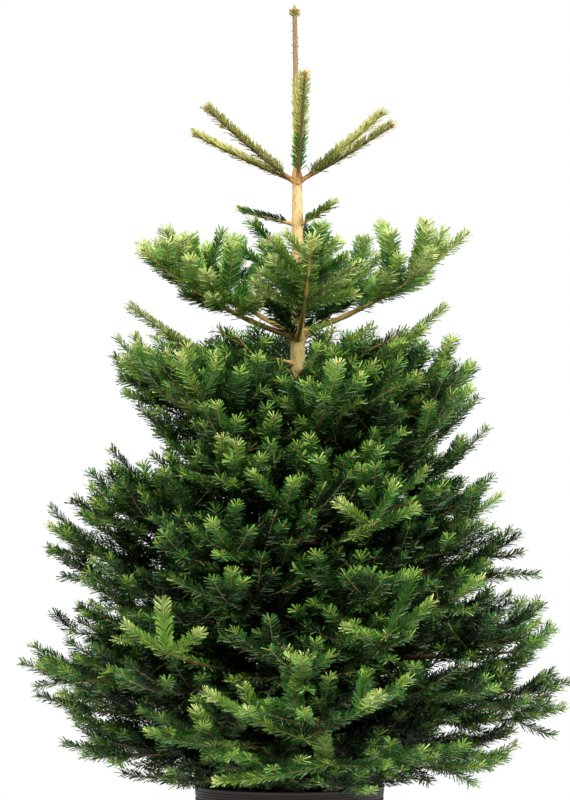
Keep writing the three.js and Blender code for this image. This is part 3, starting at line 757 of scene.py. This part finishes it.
for level, whorl in enumerate(whorls):
    for i, limb in enumerate(whorl["limbs"]):
        place = dict(level=level, lesser=False, fresh=0)
        bare = LIMB_BARE if level == OPEN_WHORL else FOOT_BARE
        keep_shoot(limb["axis"], 1, place, LIMB_TIP, limb["stem"], bare)
        found = first_shoots(whorl, limb, seeded(100 * (level + 1) + i))
        random = seeded(TWIG_SEED + 100 * level + i)
        if level >= FIRST_DENSE:
            found += year_shoots(length_of(limb["axis"]), LIFTS[whorl["name"]], random, ends=True)
            slack = STANDS_OUT
        else:
            points_back = limb["axis"][1][1] > 0
            slack = BACK_SLACK if points_back else 0
        if level == OPEN_WHORL:
            found += loosely(OPEN_FAN, random)
        grow_all(limb, found, place, random, slack)
random = seeded(LESSER_TWIG_SEED)
for limb in lessers:
    place = dict(level=limb["level"], lesser=True, fresh=0)
    keep_shoot(limb["axis"], 1, place, LESSER_TIP, limb["stem"], LIMB_BARE)
    lift = LIFTS[whorls[limb["level"]]["name"]] if limb["rise"] > 0 else 0
    grow_all(limb, year_shoots(length_of(limb["axis"]), lift, random, ends=True), place, random)
for limb in sprays:
    # The sprays are coloured lighter, the front ones more, partly as painted light.
    fresh = SIDE_LIGHTER if limb["fan"] is SIDE_FAN else SPRAY_LIGHTER
    place = dict(level=limb["level"], lesser=True, fresh=fresh)
    keep_shoot(limb["axis"], 1, place, SPRAY_TIP, limb["stem"], SPRAY_BARE)
    for at, way, length, bears in limb["fan"]:
        grow(shoot_from(limb["axis"], at, way, length, UPTURN), 2, place, random, SPRAY_SLACK, bears)


def steps_up(form):
    """The number and height of each shoot on a stretch of trunk."""
    count = round((form["highest"] - form["lowest"]) / form["step"])
    return [(step, form["lowest"] + step * form["step"]) for step in range(count)]


def trunk_shoot(form, height, heading, level, scale, random, bears=None):
    """Grows a short shoot on the trunk, whose reach is given in shares of `scale`."""
    out = np.array([cos(heading), sin(heading), form["rise"] + form["rise"] * random()])
    least, more = form["reach"]
    out *= (least + more * random()) * scale / np.linalg.norm(out)
    place = dict(level=level, lesser=True, fresh=form["fresh"])
    grow((trunk_centre(height), out, np.array([0, 0, form["bend"]])), 2, place, random, bears=bears)


# Short shoots also stand on the trunk itself between the limbs and fill the heart of the crown, their needles
# coloured darker as painted shade. Just above the dense crown the painted shade is deeper still, and they bear
# none themselves.
random = seeded(TRUNK_SHOOT_SEED)
for step, height in steps_up(TRUNK_SHOOTS):
    heading = GOLDEN_TURN * step + TRUNK_SHOOTS["turn"] * either(random)
    level = level_below(height + TRUNK_SHOOTS_BELOW)
    trunk_shoot(TRUNK_SHOOTS, height, heading, level, float(np.interp(height, *CROWN_REACH)), random)
for step, height in steps_up(UPPER_SHOOTS):
    heading = GOLDEN_TURN * step + UPPER_SHOOTS["turn"]
    trunk_shoot(UPPER_SHOOTS, height, heading, OPEN_WHORL, 1, random, bears=())

TWIG_RINGS = 3
TWIG_SIDES = 3
TWIG_SHARP = 80
YOUNG_LENGTH = 1.2 * YEAR  # shorter twigs are of this year
twigs_of = [shoot for shoot in shoots if shoot["order"] > 1]
axes = [np.array([shoot[key] for shoot in twigs_of]) for key in ("root", "run", "bend")]
t = np.linspace(0, 1, TWIG_RINGS) * np.ones((len(twigs_of), 1))
radii = np.array([shoot["thick"] for shoot in twigs_of])[:, None] * (1 - t)
radii += np.array([shoot["tip"] for shoot in twigs_of])[:, None] * t
twig_points = tubes_on(axes, t, radii, TWIG_SIDES)
walls = rings_to_faces(len(twigs_of), TWIG_RINGS, TWIG_SIDES)
last_ring = TWIG_SIDES * (TWIG_RINGS - 1)
ends = (np.arange(len(twigs_of)) * TWIG_RINGS * TWIG_SIDES)[:, None] + last_ring + np.arange(TWIG_SIDES)

# Thin fir bark: ochre and a little glossy on this year's twigs, dark brown and duller on older ones.
young_twig, _ = new_material(
    "fir_twig_of_this_year", {"Base Color": linear("#7f6a33"), "Roughness": 0.6, "IOR": 1.45},
)
old_twig, _ = new_material(
    "fir_twig_older", {"Base Color": linear("#42361b"), "Roughness": 0.75, "IOR": 1.45},
)
young = np.array([shoot["length"] < YOUNG_LENGTH or shoot["fresh"] > 0 for shoot in twigs_of])
which = np.concatenate([np.repeat(~young, last_ring), ~young]).astype(int)
twigs = add_piece("twigs", twig_points, [walls, ends], [young_twig, old_twig], which, sharp=TWIG_SHARP)

# ---- Needles ----
# Flat fir needles, waxy and about 20 mm long, parted to both sides of their twig and combed towards its tip.
# They stay for years: this summer's are fresh green, older ones deep green, and all are paler underneath.
# Their colours also carry painted shade, darker deep in the crown and low down, and painted light, lighter at
# the tips and on the sprays in front.
GOLDEN = 0.61803399  # of a turn, from one needle to the next
NEEDLE_SEED = 20
NEEDLE_LENGTH = {"leader_ring": 21, "stem_twigs": 18, "whorl2": 22}
NEEDLE_WIDTH = 2.1
OPEN_DENSITY = {"leader_ring": 2.7, "stem_twigs": 2.2, "whorl2": 2.4}  # needles to a millimetre
INNER_DENSITY = 0.55
OUTER_DENSITY = 1.5
DENSE_FROM = 0.4  # share of the crown's reach at which the needles begin to stand closer
DENSE_OVER = 0.35  # and over which they reach their full number
INSIDE = 0.7  # nearer the trunk than this share, needles are longer and wider, and so fewer close the crown
DENSE_NEEDLE = 20
INSIDE_LONGER = 8
SPRAY_NEEDLES = dict(density=2.4, needle=22)
LIMB_DENSITY = 0.5  # needles on a limb itself, as a share of those on its shoots
LIMB_CROWDING = 0.7
CROWDING = 0.88  # below 1, needles stand closer towards the tip
SPREAD = 128  # how far round a twig, from its top, needles stand
TOP_SPREAD = 105  # the same round the leader and on the stem twigs, which have no parting
PARTING = 12
FORWARD = 38
TURN_SPREAD = 7
SIDE_SPLAY = 14  # how much further off the twig they lean at its sides than on its top
FORWARD_SPREAD = 6
TIP_CLOSER = 4
TIP_LENGTH = 5
FACE_SPREAD = 0.5
TOP_SIZE, SIDE_SIZE = 0.72, 0.28
LEAST_SIZE, SIZE_SPREAD = 0.86, 0.24
TIP_SHORTER = 0.12
ROOTED = 0.4  # how deep a needle stands in its twig
DROOP = 0.06  # of its length
NEEDLE_FOOT = 0.6  # width there, as a share of the full width
NEEDLE_BEVEL = 1.5
NEEDLE_COLOURS = {
    "deep": "#091b08", "dark": "#1a3a14", "mid": "#376222", "fresh": "#6f923a", "bright": "#9fb064",
    "pale": "#58784a", "ring_fresh": "#727c38", "ring_bright": "#9c9b52",
}
# A shoot's tone runs from 0, deep green, to more than 1, bright; TONES are where each of the first five
# colours gives way to the next. The tone also carries painted shade, lower deep in the crown and down the
# tree, and painted light, higher at the tips and on the sprays in front.
TONES = [0.25, 0.5, 0.8, 1.15]
# each whorl's own tone: lighter high up, partly the yellower green of the young top, and darker low down,
# partly painted shade
TONE = {"leader_ring": 1.12, "stem_twigs": 0.8, "whorl2": 0.78, "whorl3": 0.52, "whorl4": 0.4, "whorl5": 0.26}
LOW_TONE = 0.16
# how much lighter outer shoots and darker inner ones are coloured: painted shade inside the crown
TONE_OUTWARD = 0.6
TONE_EVEN = 0.75  # share of the crown's reach at which a shoot has its whorl's tone
TONE_SPREAD = 0.2
# the last few millimetres of a shoot are lighter: partly the fresh green of new growth, partly a painted
# highlight
TIP_TONE = 0.65
TIP_FRESH = 17
OLD_TONE = 0.25  # needles of earlier years are darker by this: partly their older green, partly painted shade further into the crown
OLD_OVER = 30
PALE_TURN = 98  # beyond this turn some show their pale undersides
PALE_SHARE = 0.35
FRONT_SHOOT = dict(tone=0.8, needle=15, spread=78)  # the front shoot of the leader's ring is steep, and its lower tone is painted shade
# The leader's needles are short and close up to a height, and mere spikes above, with a tuft round the bud.
LEADER = [
    (1386, 1532, dict(density=1.3, needle=12, forward=12, tone=1.2)),
    (1532, 1654, dict(density=0.35, needle=5.5, forward=22, tone=0.5)),
    (1648, 1659, dict(density=5, needle=9, forward=44, tone=0.7)),
]
LEADER_NEEDLES = dict(
    thick=5.2, tip=4.2, bare=0, crowding=1, width=1.9, parting=0, spread=180, phase=0.3,
)


def unit(vectors):
    return vectors / np.linalg.norm(vectors, axis=-1, keepdims=True)


def needles_on(group, jitter):
    """Needles of a group of shoots: their points, and for each the shoot, its turn round the twig and the way
    left to the twig's tip."""
    count = np.array([int(s["density"] * s["length"] * (1 - s["bare"])) for s in group])
    which = np.repeat(np.arange(len(group)), count)
    place = np.arange(count.sum()) - np.repeat(np.cumsum(count) - count, count)

    def of(key):
        return np.array([s[key] for s in group])[which]

    t = ((place + jitter.random(len(which))) / count[which]) ** of("crowding")
    t = of("bare") + (1 - of("bare")) * t
    axes = [of(key) for key in ("root", "run", "bend")]
    along, left, up = (d[:, 0] for d in directions_on(axes, t[:, None]))
    start = points_on(axes, t[:, None])[:, 0]
    share = 2 * ((place * GOLDEN + of("phase")) % 1) - 1
    turn = np.sign(share) * (of("parting") + (of("spread") - of("parting")) * np.abs(share))
    turn += TURN_SPREAD * jitter.standard_normal(len(which))
    sideways = np.abs(np.sin(np.radians(turn)))
    left_to_go = (1 - t) * of("length")
    nearness = np.exp(-left_to_go / TIP_LENGTH)
    forward = of("forward") + SIDE_SPLAY * sideways + FORWARD_SPREAD * jitter.standard_normal(len(which))
    forward = np.radians(forward - TIP_CLOSER * nearness)
    outward = np.cos(np.radians(turn))[:, None] * up + np.sin(np.radians(turn))[:, None] * left
    way = np.cos(forward)[:, None] * along + np.sin(forward)[:, None] * outward
    face = sideways[:, None] * up - (1 - sideways)[:, None] * along
    face += FACE_SPREAD * jitter.standard_normal((len(which), 3))
    across = unit(np.cross(way, face))
    face = np.cross(across, way)
    size = of("needle") * (TOP_SIZE + SIDE_SIZE * sideways)
    size *= LEAST_SIZE + SIZE_SPREAD * jitter.random(len(which))
    size *= 1 - TIP_SHORTER * nearness
    radius = of("thick") * (1 - t) + of("tip") * t
    root = start + (radius - ROOTED)[:, None] * outward
    end = root + size[:, None] * way - (DROOP * size)[:, None] * face
    half = (of("width") / 2)[:, None] * across
    foot = NEEDLE_FOOT * half
    points = np.stack([root - foot, root + foot, end + half, end - half - NEEDLE_BEVEL * way], axis=1)
    return points, which, turn, left_to_go


# Fir needles have a thin coat of wax, so they have a soft gloss and no sharp highlights.
needle_materials = []
for name, colour in NEEDLE_COLOURS.items():
    material, _ = new_material(
        f"fir_needles_{name}",
        {"Base Color": linear(colour), "Roughness": 0.45, "IOR": 1.45, "Specular IOR Level": 0.25},
    )
    needle_materials.append(material)
shade = {name: number for number, name in enumerate(NEEDLE_COLOURS)}


def needle_group(level, whorl, lesser):
    """The shoots of one whorl, or of the lesser limbs above it, with how their needles stand."""
    group = [shoot for shoot in shoots if shoot["level"] == level and shoot["lesser"] == lesser]
    top = whorl["name"] in ("leader_ring", "stem_twigs")
    for shoot in group:
        tip = shoot["root"] + shoot["run"] + shoot["bend"]
        distance = float(np.hypot(*(tip - trunk_centre(tip[2]))[:2]))
        outness = distance / float(np.interp(tip[2], *CROWN_REACH))
        inside = max(0, INSIDE - outness)
        closeness = min(1, max(0, (outness - DENSE_FROM) / DENSE_OVER))
        dense = INNER_DENSITY + (OUTER_DENSITY - INNER_DENSITY) * closeness
        # A shoot's tone falls towards the trunk, as painted shade, and down the tree, partly as painted shade.
        shoot.update(
            outness=outness, density=OPEN_DENSITY.get(whorl["name"], dense), crowding=CROWDING,
            needle=NEEDLE_LENGTH.get(whorl["name"], DENSE_NEEDLE + INSIDE_LONGER * inside),
            width=NEEDLE_WIDTH * (1 + inside), parting=0 if top else PARTING,
            spread=TOP_SPREAD if top else SPREAD, forward=FORWARD, phase=jitter.random(),
            tone=TONE.get(whorl["name"], LOW_TONE) + TONE_OUTWARD * (outness - TONE_EVEN),
        )
        shoot["tone"] += TONE_SPREAD * jitter.standard_normal()
        # `fresh` lightens the sprays, partly as painted light, and darkens the shoots on the trunk, as painted
        # shade.
        shoot["tone"] += shoot["fresh"]
        if shoot["fresh"] == SPRAY_LIGHTER and shoot["order"] > 1:
            shoot.update(SPRAY_NEEDLES)
        if shoot["order"] == 1 and not top:
            shoot.update(density=LIMB_DENSITY * shoot["density"], crowding=LIMB_CROWDING)
    return group


def leader_group():
    """The leader's own needles."""
    group = []
    for foot, top, look in LEADER:
        foot, top = trunk_centre(foot), trunk_centre(top)
        length = float(np.linalg.norm(top - foot))
        group.append(dict(root=foot, run=top - foot, bend=0 * foot, length=length, **LEADER_NEEDLES, **look))
    return group


jitter = np.random.default_rng(NEEDLE_SEED)
for level, whorl in enumerate(whorls):
    for lesser in (False, True):
        group = needle_group(level, whorl, lesser)
        if not group:
            continue
        if level == 0:
            # its front shoot is coloured darker, as painted shade
            group[-1].update(FRONT_SHOOT)
            group += leader_group()
        points, which, turn, left_to_go = needles_on(group, jitter)
        # Lighter at the tips, partly as a painted highlight, and darker further back, partly as painted shade.
        tone = np.array([s["tone"] for s in group])[which] + TIP_TONE * np.exp(-left_to_go / TIP_FRESH)
        tone -= OLD_TONE * np.clip((left_to_go - YEAR) / OLD_OVER, 0, 1)
        kind = np.digitize(tone, TONES)
        under = (np.abs(turn) > PALE_TURN) & (jitter.random(len(turn)) < PALE_SHARE)
        kind[under] = shade["pale"]
        if level == 0:
            for name in ("fresh", "bright"):
                kind[kind == shade[name]] = shade["ring_" + name]
        corners = 4 * np.arange(len(points))[:, None]
        faces = np.concatenate([corners + [0, 1, 2], corners + [0, 2, 3]])
        name = f"needles_above_{whorl['name']}" if lesser else f"needles_{whorl['name']}"
        needles = add_piece(name, points, [faces], needle_materials, np.tile(kind, 2))
        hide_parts(*[f"foliage_{limb['name']}" for limb in whorl["limbs"]])

# ---- Buds ----
# Resin-sealed winter buds: small brown scaly ovals at the ends of the outer shoots, one large and two small
# ones beside it on the stouter tips, and a crown of them round the big one at the very top.
BUD_FROM = 0.62  # only shoots that reach this far out show theirs
BUD_SUNK = 0.15  # share of its length that a bud sits in its twig
BUD_PROFILE = np.array([(0, 0.6), (0.4, 1), (1, 0.1)]).T  # share of its length, and of its width
BUD_SIDES = 4
BUD_SHARP = 50
MIDDLE_BUD = 1.3  # how much larger the middle one of a group is
RING_BUDS = dict(count=5, tilt=52, length=8, width=2.6)
STOUT_BUDS = dict(count=2, tilt=42, length=4.8, width=1.5)
STOUT_SHOOT = 80  # length
SINGLE_BUD = dict(length=5.5, width=1.8)
TOP_BUDS = dict(count=6, tilt=62, length=13, width=4.6)
TOP_BUDS_AT = 1656
TOP_STRETCH = (1600, 1660)  # the part of the leader that sets the way they point
CLUSTER_BUDS = dict(count=4, tilt=50, length=7, width=2.4)  # on the upper side of one shoot of the ring
CLUSTER_AT = 0.66
CLUSTER_RISE = 4
bud_axes, bud_widths = [], []


def add_bud(place, way, length, width):
    bud_axes.append((place - BUD_SUNK * length * way, length * way))
    bud_widths.append(width)


def bud_crown(place, frame_of, count, tilt, length, width):
    """One bud straight on and `count` round it, leaning out by `tilt` degrees."""
    along, left, up = frame_of
    add_bud(place, along, MIDDLE_BUD * length, MIDDLE_BUD * width)
    for i in range(count):
        out = cos(360 * i / count) * left + sin(360 * i / count) * up
        add_bud(place, cos(tilt) * along + sin(tilt) * out, length, width)


def place_on(axis, t):
    """The point at share t of one bent axis, and the directions along it, to its left and up there."""
    one = [np.array([part]) for part in axis]
    return points_on(one, [[t]])[0, 0], [direction[0, 0] for direction in directions_on(one, [[t]])]


for shoot in shoots:
    if shoot["outness"] < BUD_FROM:
        continue
    tip, frame_of = place_on((shoot["root"], shoot["run"], shoot["bend"]), 1.0)
    if shoot["level"] == 0:
        bud_crown(tip, frame_of, **RING_BUDS)
    elif shoot["order"] == 1 or shoot["length"] > STOUT_SHOOT:
        bud_crown(tip, frame_of, **STOUT_BUDS)
    else:
        add_bud(tip, frame_of[0], **SINGLE_BUD)
leader_way = unit(trunk_centre(TOP_STRETCH[1]) - trunk_centre(TOP_STRETCH[0]))
bud_crown(trunk_centre(TOP_BUDS_AT), (leader_way, np.array([1, 0, 0]), np.array([0, 1, 0])), **TOP_BUDS)
knot, frame_of = place_on(whorls[0]["limbs"][0]["axis"], CLUSTER_AT)
bud_crown(knot + CLUSTER_RISE * frame_of[2], frame_of[::-1], **CLUSTER_BUDS)
root = np.array([axis[0] for axis in bud_axes])
run = np.array([axis[1] for axis in bud_axes])
t = BUD_PROFILE[0] * np.ones((len(root), 1))
radii = np.array(bud_widths)[:, None] * BUD_PROFILE[1]
bud_points = tubes_on((root, run, 0 * run), t, radii, BUD_SIDES)
bud_faces = rings_to_faces(len(root), BUD_PROFILE.shape[1], BUD_SIDES)
# Dry brown scales sealed with resin, which gives them a slight gloss.
scales, _ = new_material("bud_scales", {"Base Color": linear("#85602c"), "Roughness": 0.5, "IOR": 1.48})
buds = add_piece("buds", bud_points, [bud_faces], [scales], sharp=BUD_SHARP)

# ---- Pot ----
# A round nursery container of dark recycled polypropylene, injection moulded: a plain tapered wall under a
# collar that stands proud of it, with a raised ring along the collar's lower edge and a rolled rim.
POT_HEIGHT = 280
RIM_RADIUS = 170
POT_BASE = 126
POT_SIDES = 160
POT_SHARP = 35
WALL_INSET = 5  # how far the wall's top lies inside the rim
COLLAR_FOOT = 253
COLLAR_RADIUS = 167.4
COLLAR_LOW = (167.2, 256)  # radius and height from which it widens
COLLAR_WIDENS = 2.4  # over its height
COLLAR_HEIGHT = 21
BEAD = 0.8  # how far the ring along the collar's lower edge stands out, and its bevel
BEAD_HEIGHT = 3.6
GROOVES = (258.5, 263, 267.5, 272)  # heights of the fine grooves round the collar
GROOVE_DEPTH = 0.7
INSIDE_BASE = 123
INSIDE_WIDENS = 39
INSIDE_HEIGHT = 273
POT_FLOOR = 4


def lathed(profile, sides):
    """Points and faces of a turned body; its profile is radii and heights, from the axis round to the axis."""
    turns = np.arange(sides) * 2 * np.pi / sides
    profile = np.array([(max(r, 0.01), z) for r, z in profile])
    rings = np.stack([
        profile[:, :1] * np.cos(turns), profile[:, :1] * np.sin(turns), profile[:, 1:] * np.ones(sides),
    ], axis=-1)
    return rings, rings_to_faces(1, len(profile), sides)


def wall(z):
    """The radius of the tapered wall at a height."""
    return POT_BASE + (RIM_RADIUS - WALL_INSET - POT_BASE) * z / COLLAR_FOOT


def collar(z):
    """The radius of the collar at a height: it widens a little towards the rim."""
    return COLLAR_LOW[0] + COLLAR_WIDENS * (z - COLLAR_LOW[1]) / COLLAR_HEIGHT


profile = [(0, 0), (POT_BASE - 6, 0), (POT_BASE - 1.5, 1), (wall(3.5), 3.5), (wall(8), 8)]
profile += [(wall(z), z) for z in np.linspace(20, COLLAR_FOOT - 2, 12)]
profile += [
    (wall(COLLAR_FOOT), COLLAR_FOOT), (COLLAR_RADIUS, COLLAR_FOOT),
    (COLLAR_RADIUS + BEAD, COLLAR_FOOT + BEAD), (COLLAR_RADIUS + BEAD, COLLAR_FOOT + BEAD_HEIGHT - 1),
    (COLLAR_RADIUS, COLLAR_FOOT + BEAD_HEIGHT),
]
for z in GROOVES:
    bottom = collar(z) - GROOVE_DEPTH
    profile += [(collar(z), z - 1), (bottom, z - 0.4), (bottom, z + 0.4), (collar(z) + 0.1, z + 1)]
profile += [
    (RIM_RADIUS - 0.2, POT_HEIGHT - 3.5), (RIM_RADIUS, POT_HEIGHT - 2), (RIM_RADIUS - 0.8, POT_HEIGHT - 0.6),
    (RIM_RADIUS - 2, POT_HEIGHT), (RIM_RADIUS - 5.5, POT_HEIGHT), (RIM_RADIUS - 7, POT_HEIGHT - 0.8),
    (RIM_RADIUS - 8, POT_HEIGHT - 3),
]
profile += [(INSIDE_BASE + INSIDE_WIDENS * (z - POT_FLOOR) / INSIDE_HEIGHT, z) for z in (240, 150, 60)]
profile += [(INSIDE_BASE, POT_FLOOR), (0, POT_FLOOR)]
points, faces = lathed(profile, POT_SIDES)

# Recycled polypropylene as it comes from the mould: near black, with a low even gloss, a fine orange peel and
# patches of brownish dust.
DUST_PATCH = 500 / 7
ORANGE_PEEL = 10 / 9  # nine to a centimetre
plastic, plastic_shader = new_material(
    "moulded_polypropylene", {"Roughness": 0.42, "IOR": 1.49, "Specular IOR Level": 0.25},
)
place = add_node(plastic, "TexCoord").outputs["Object"]
dust = add_node(
    plastic, "TexNoise", {"Vector": place, "Scale": METRE / DUST_PATCH, "Detail": 5, "Roughness": 0.6},
)
dusty = add_node(plastic, "MapRange", {"Value": dust.outputs["Fac"], "From Min": 0.4, "From Max": 0.75})
tint = add_node(
    plastic, "MixRGB",
    {"Fac": dusty.outputs["Result"], "Color1": linear("#130d09"), "Color2": linear("#231a14")},
)
plastic.node_tree.links.new(tint.outputs["Color"], plastic_shader.inputs["Base Color"])
peel = add_node(plastic, "TexNoise", {"Vector": place, "Scale": METRE / ORANGE_PEEL, "Detail": 2})
dent = add_node(plastic, "Bump", {"Height": peel.outputs["Fac"], "Strength": 0.15, "Distance": 0.3 / METRE})
plastic.node_tree.links.new(dent.outputs["Normal"], plastic_shader.inputs["Normal"])
pot = add_piece("nursery_pot", points, [faces], [plastic], sharp=POT_SHARP)
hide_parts("pot")

# ---- Potting soil ----
# Peat-based compost that fills the pot to just under the rim, heaped a little at the trunk: dark, crumbly and
# quite matt, with bits of fibre and bark in it.
SOIL_SIDES = 120
SOIL_SHARP = 70
SOIL_TOP = 252  # at the trunk
HEAP_RADIUS = 60  # up to here the heap is level
SOIL_DROP = 7  # how much it falls over the next stretch
SOIL_FALL = 97.5
SOIL_RADIUS = 156.9
SOIL_RINGS = 34
SOIL_BASE = (122.3, 4.3)  # its lower edge, just clear of the pot
LUMPS = ((14, 1.6), (5, 1.3))  # size and height of the coarse and the fine ones
CRUMB = 50 / 13


def soil_height(radius):
    return SOIL_TOP - SOIL_DROP * max(0.0, (radius - HEAP_RADIUS) / SOIL_FALL)


surface = [(float(radius), soil_height(radius)) for radius in np.linspace(SOIL_RADIUS, 0, SOIL_RINGS)]
points, faces = lathed([(0, SOIL_BASE[1]), SOIL_BASE] + surface, SOIL_SIDES)
(coarse, coarse_height), (fine, fine_height) = LUMPS
lumps = coarse_height * roughness_of(points, coarse, seed=5)
lumps += fine_height * roughness_of(points, fine, seed=6)
lumps -= coarse_height
points[2:, :, 2] += lumps[2:]

# Moist peat: almost no gloss, dark brown, with paler crumbs of bark and fibre about 4 mm apart.
peat, peat_shader = new_material("peat_compost", {"Roughness": 0.95, "IOR": 1.4})
place = add_node(peat, "TexCoord").outputs["Object"]
crumbs = add_node(peat, "TexNoise", {"Vector": place, "Scale": METRE / CRUMB, "Detail": 4, "Roughness": 0.7})
tint = add_node(
    peat, "MixRGB",
    {"Fac": crumbs.outputs["Fac"], "Color1": linear("#1d140d"), "Color2": linear("#4f3826")},
)
peat.node_tree.links.new(tint.outputs["Color"], peat_shader.inputs["Base Color"])
dent = add_node(peat, "Bump", {"Height": crumbs.outputs["Fac"], "Strength": 0.8, "Distance": 3 / METRE})
peat.node_tree.links.new(dent.outputs["Normal"], peat_shader.inputs["Normal"])
soil = add_piece("potting_soil_surface", points, [faces], [peat], sharp=SOIL_SHARP)
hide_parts("potting_soil")

# ---- Floor, light and camera ----
# A pale studio floor under a white surround, a large soft light from the upper left, a weaker one from the
# right and a faint one level with each side. The camera stands level, far off, with a long lens.
FLOOR_SIDES = 96
FLOOR_RADIUS = 2400
FLOOR_TOP = -0.2
SURROUND = 0.18  # strength of its light; the camera sees it white
LIGHTS = [  # name, place in metres, size and power
    ("key", (-1.9, -3.9, 4.3), 1.3, 520),
    ("fill", (3.6, -2.7, 3.4), 1.8, 380),
    ("left_edge", (-4.2, 0.4, 2.6), 1.6, 70),
    ("right_edge", (4.2, 0.4, 2.6), 1.6, 110),
]
LIT = Vector((0, 0, 0.9))  # what the lights point at
CAMERA_DISTANCE = 8.5  # metres
CAMERA_ASIDE = -0.008
CAMERA_HEIGHT = 0.965
VIEW_HEIGHT = 1.427  # what the frame takes in at the tree
FILM = 36

turns = np.arange(FLOOR_SIDES) * 2 * np.pi / FLOOR_SIDES
rim = FLOOR_RADIUS * np.stack([np.cos(turns), np.sin(turns), 0 * turns], axis=1)
disc = np.concatenate([[[0, 0, 0]], rim]) + [0, 0, FLOOR_TOP]
slices = [(0, 1 + i, 1 + (i + 1) % FLOOR_SIDES) for i in range(FLOOR_SIDES)]
mesh = bpy.data.meshes.new("floor")
mesh.from_pydata((disc / METRE).tolist(), [], slices)
# Matt studio paint, near white, so that the shadow of the pot shows softly.
floor_paint, _ = new_material("pale_floor", {"Base Color": linear("#e9e8e5"), "Roughness": 0.8})
mesh.materials.append(floor_paint)
floor = bpy.data.objects.new("floor", mesh)
bpy.context.scene.collection.objects.link(floor)

world = bpy.data.worlds.new("surround")
bpy.context.scene.world = world
world.use_nodes = True
tree = world.node_tree
white, soft = tree.nodes["Background"], tree.nodes.new("ShaderNodeBackground")
white.inputs["Color"].default_value = soft.inputs["Color"].default_value = (1, 1, 1, 1)
soft.inputs["Strength"].default_value = SURROUND
seen = tree.nodes.new("ShaderNodeLightPath")
blend = tree.nodes.new("ShaderNodeMixShader")
tree.links.new(seen.outputs["Is Camera Ray"], blend.inputs[0])
tree.links.new(soft.outputs[0], blend.inputs[1])
tree.links.new(white.outputs[0], blend.inputs[2])
tree.links.new(blend.outputs[0], tree.nodes["World Output"].inputs["Surface"])
bpy.context.scene.view_settings.view_transform = "Standard"

for name, where, size, power in LIGHTS:
    light = bpy.data.lights.new(name, "AREA")
    light.size = size
    light.energy = power
    lamp = bpy.data.objects.new(name, light)
    lamp.location = where
    lamp.rotation_euler = (LIT - Vector(where)).to_track_quat("-Z", "Y").to_euler()
    bpy.context.scene.collection.objects.link(lamp)

camera_data = bpy.data.cameras.new("camera")
camera = bpy.data.objects.new("camera", camera_data)
camera.location = (CAMERA_ASIDE, -CAMERA_DISTANCE, CAMERA_HEIGHT)
camera.rotation_euler = (np.radians(90), 0, 0)
camera_data.lens = FILM * CAMERA_DISTANCE / VIEW_HEIGHT
camera_data.clip_end = 60
bpy.context.scene.collection.objects.link(camera)
bpy.context.scene.camera = camera
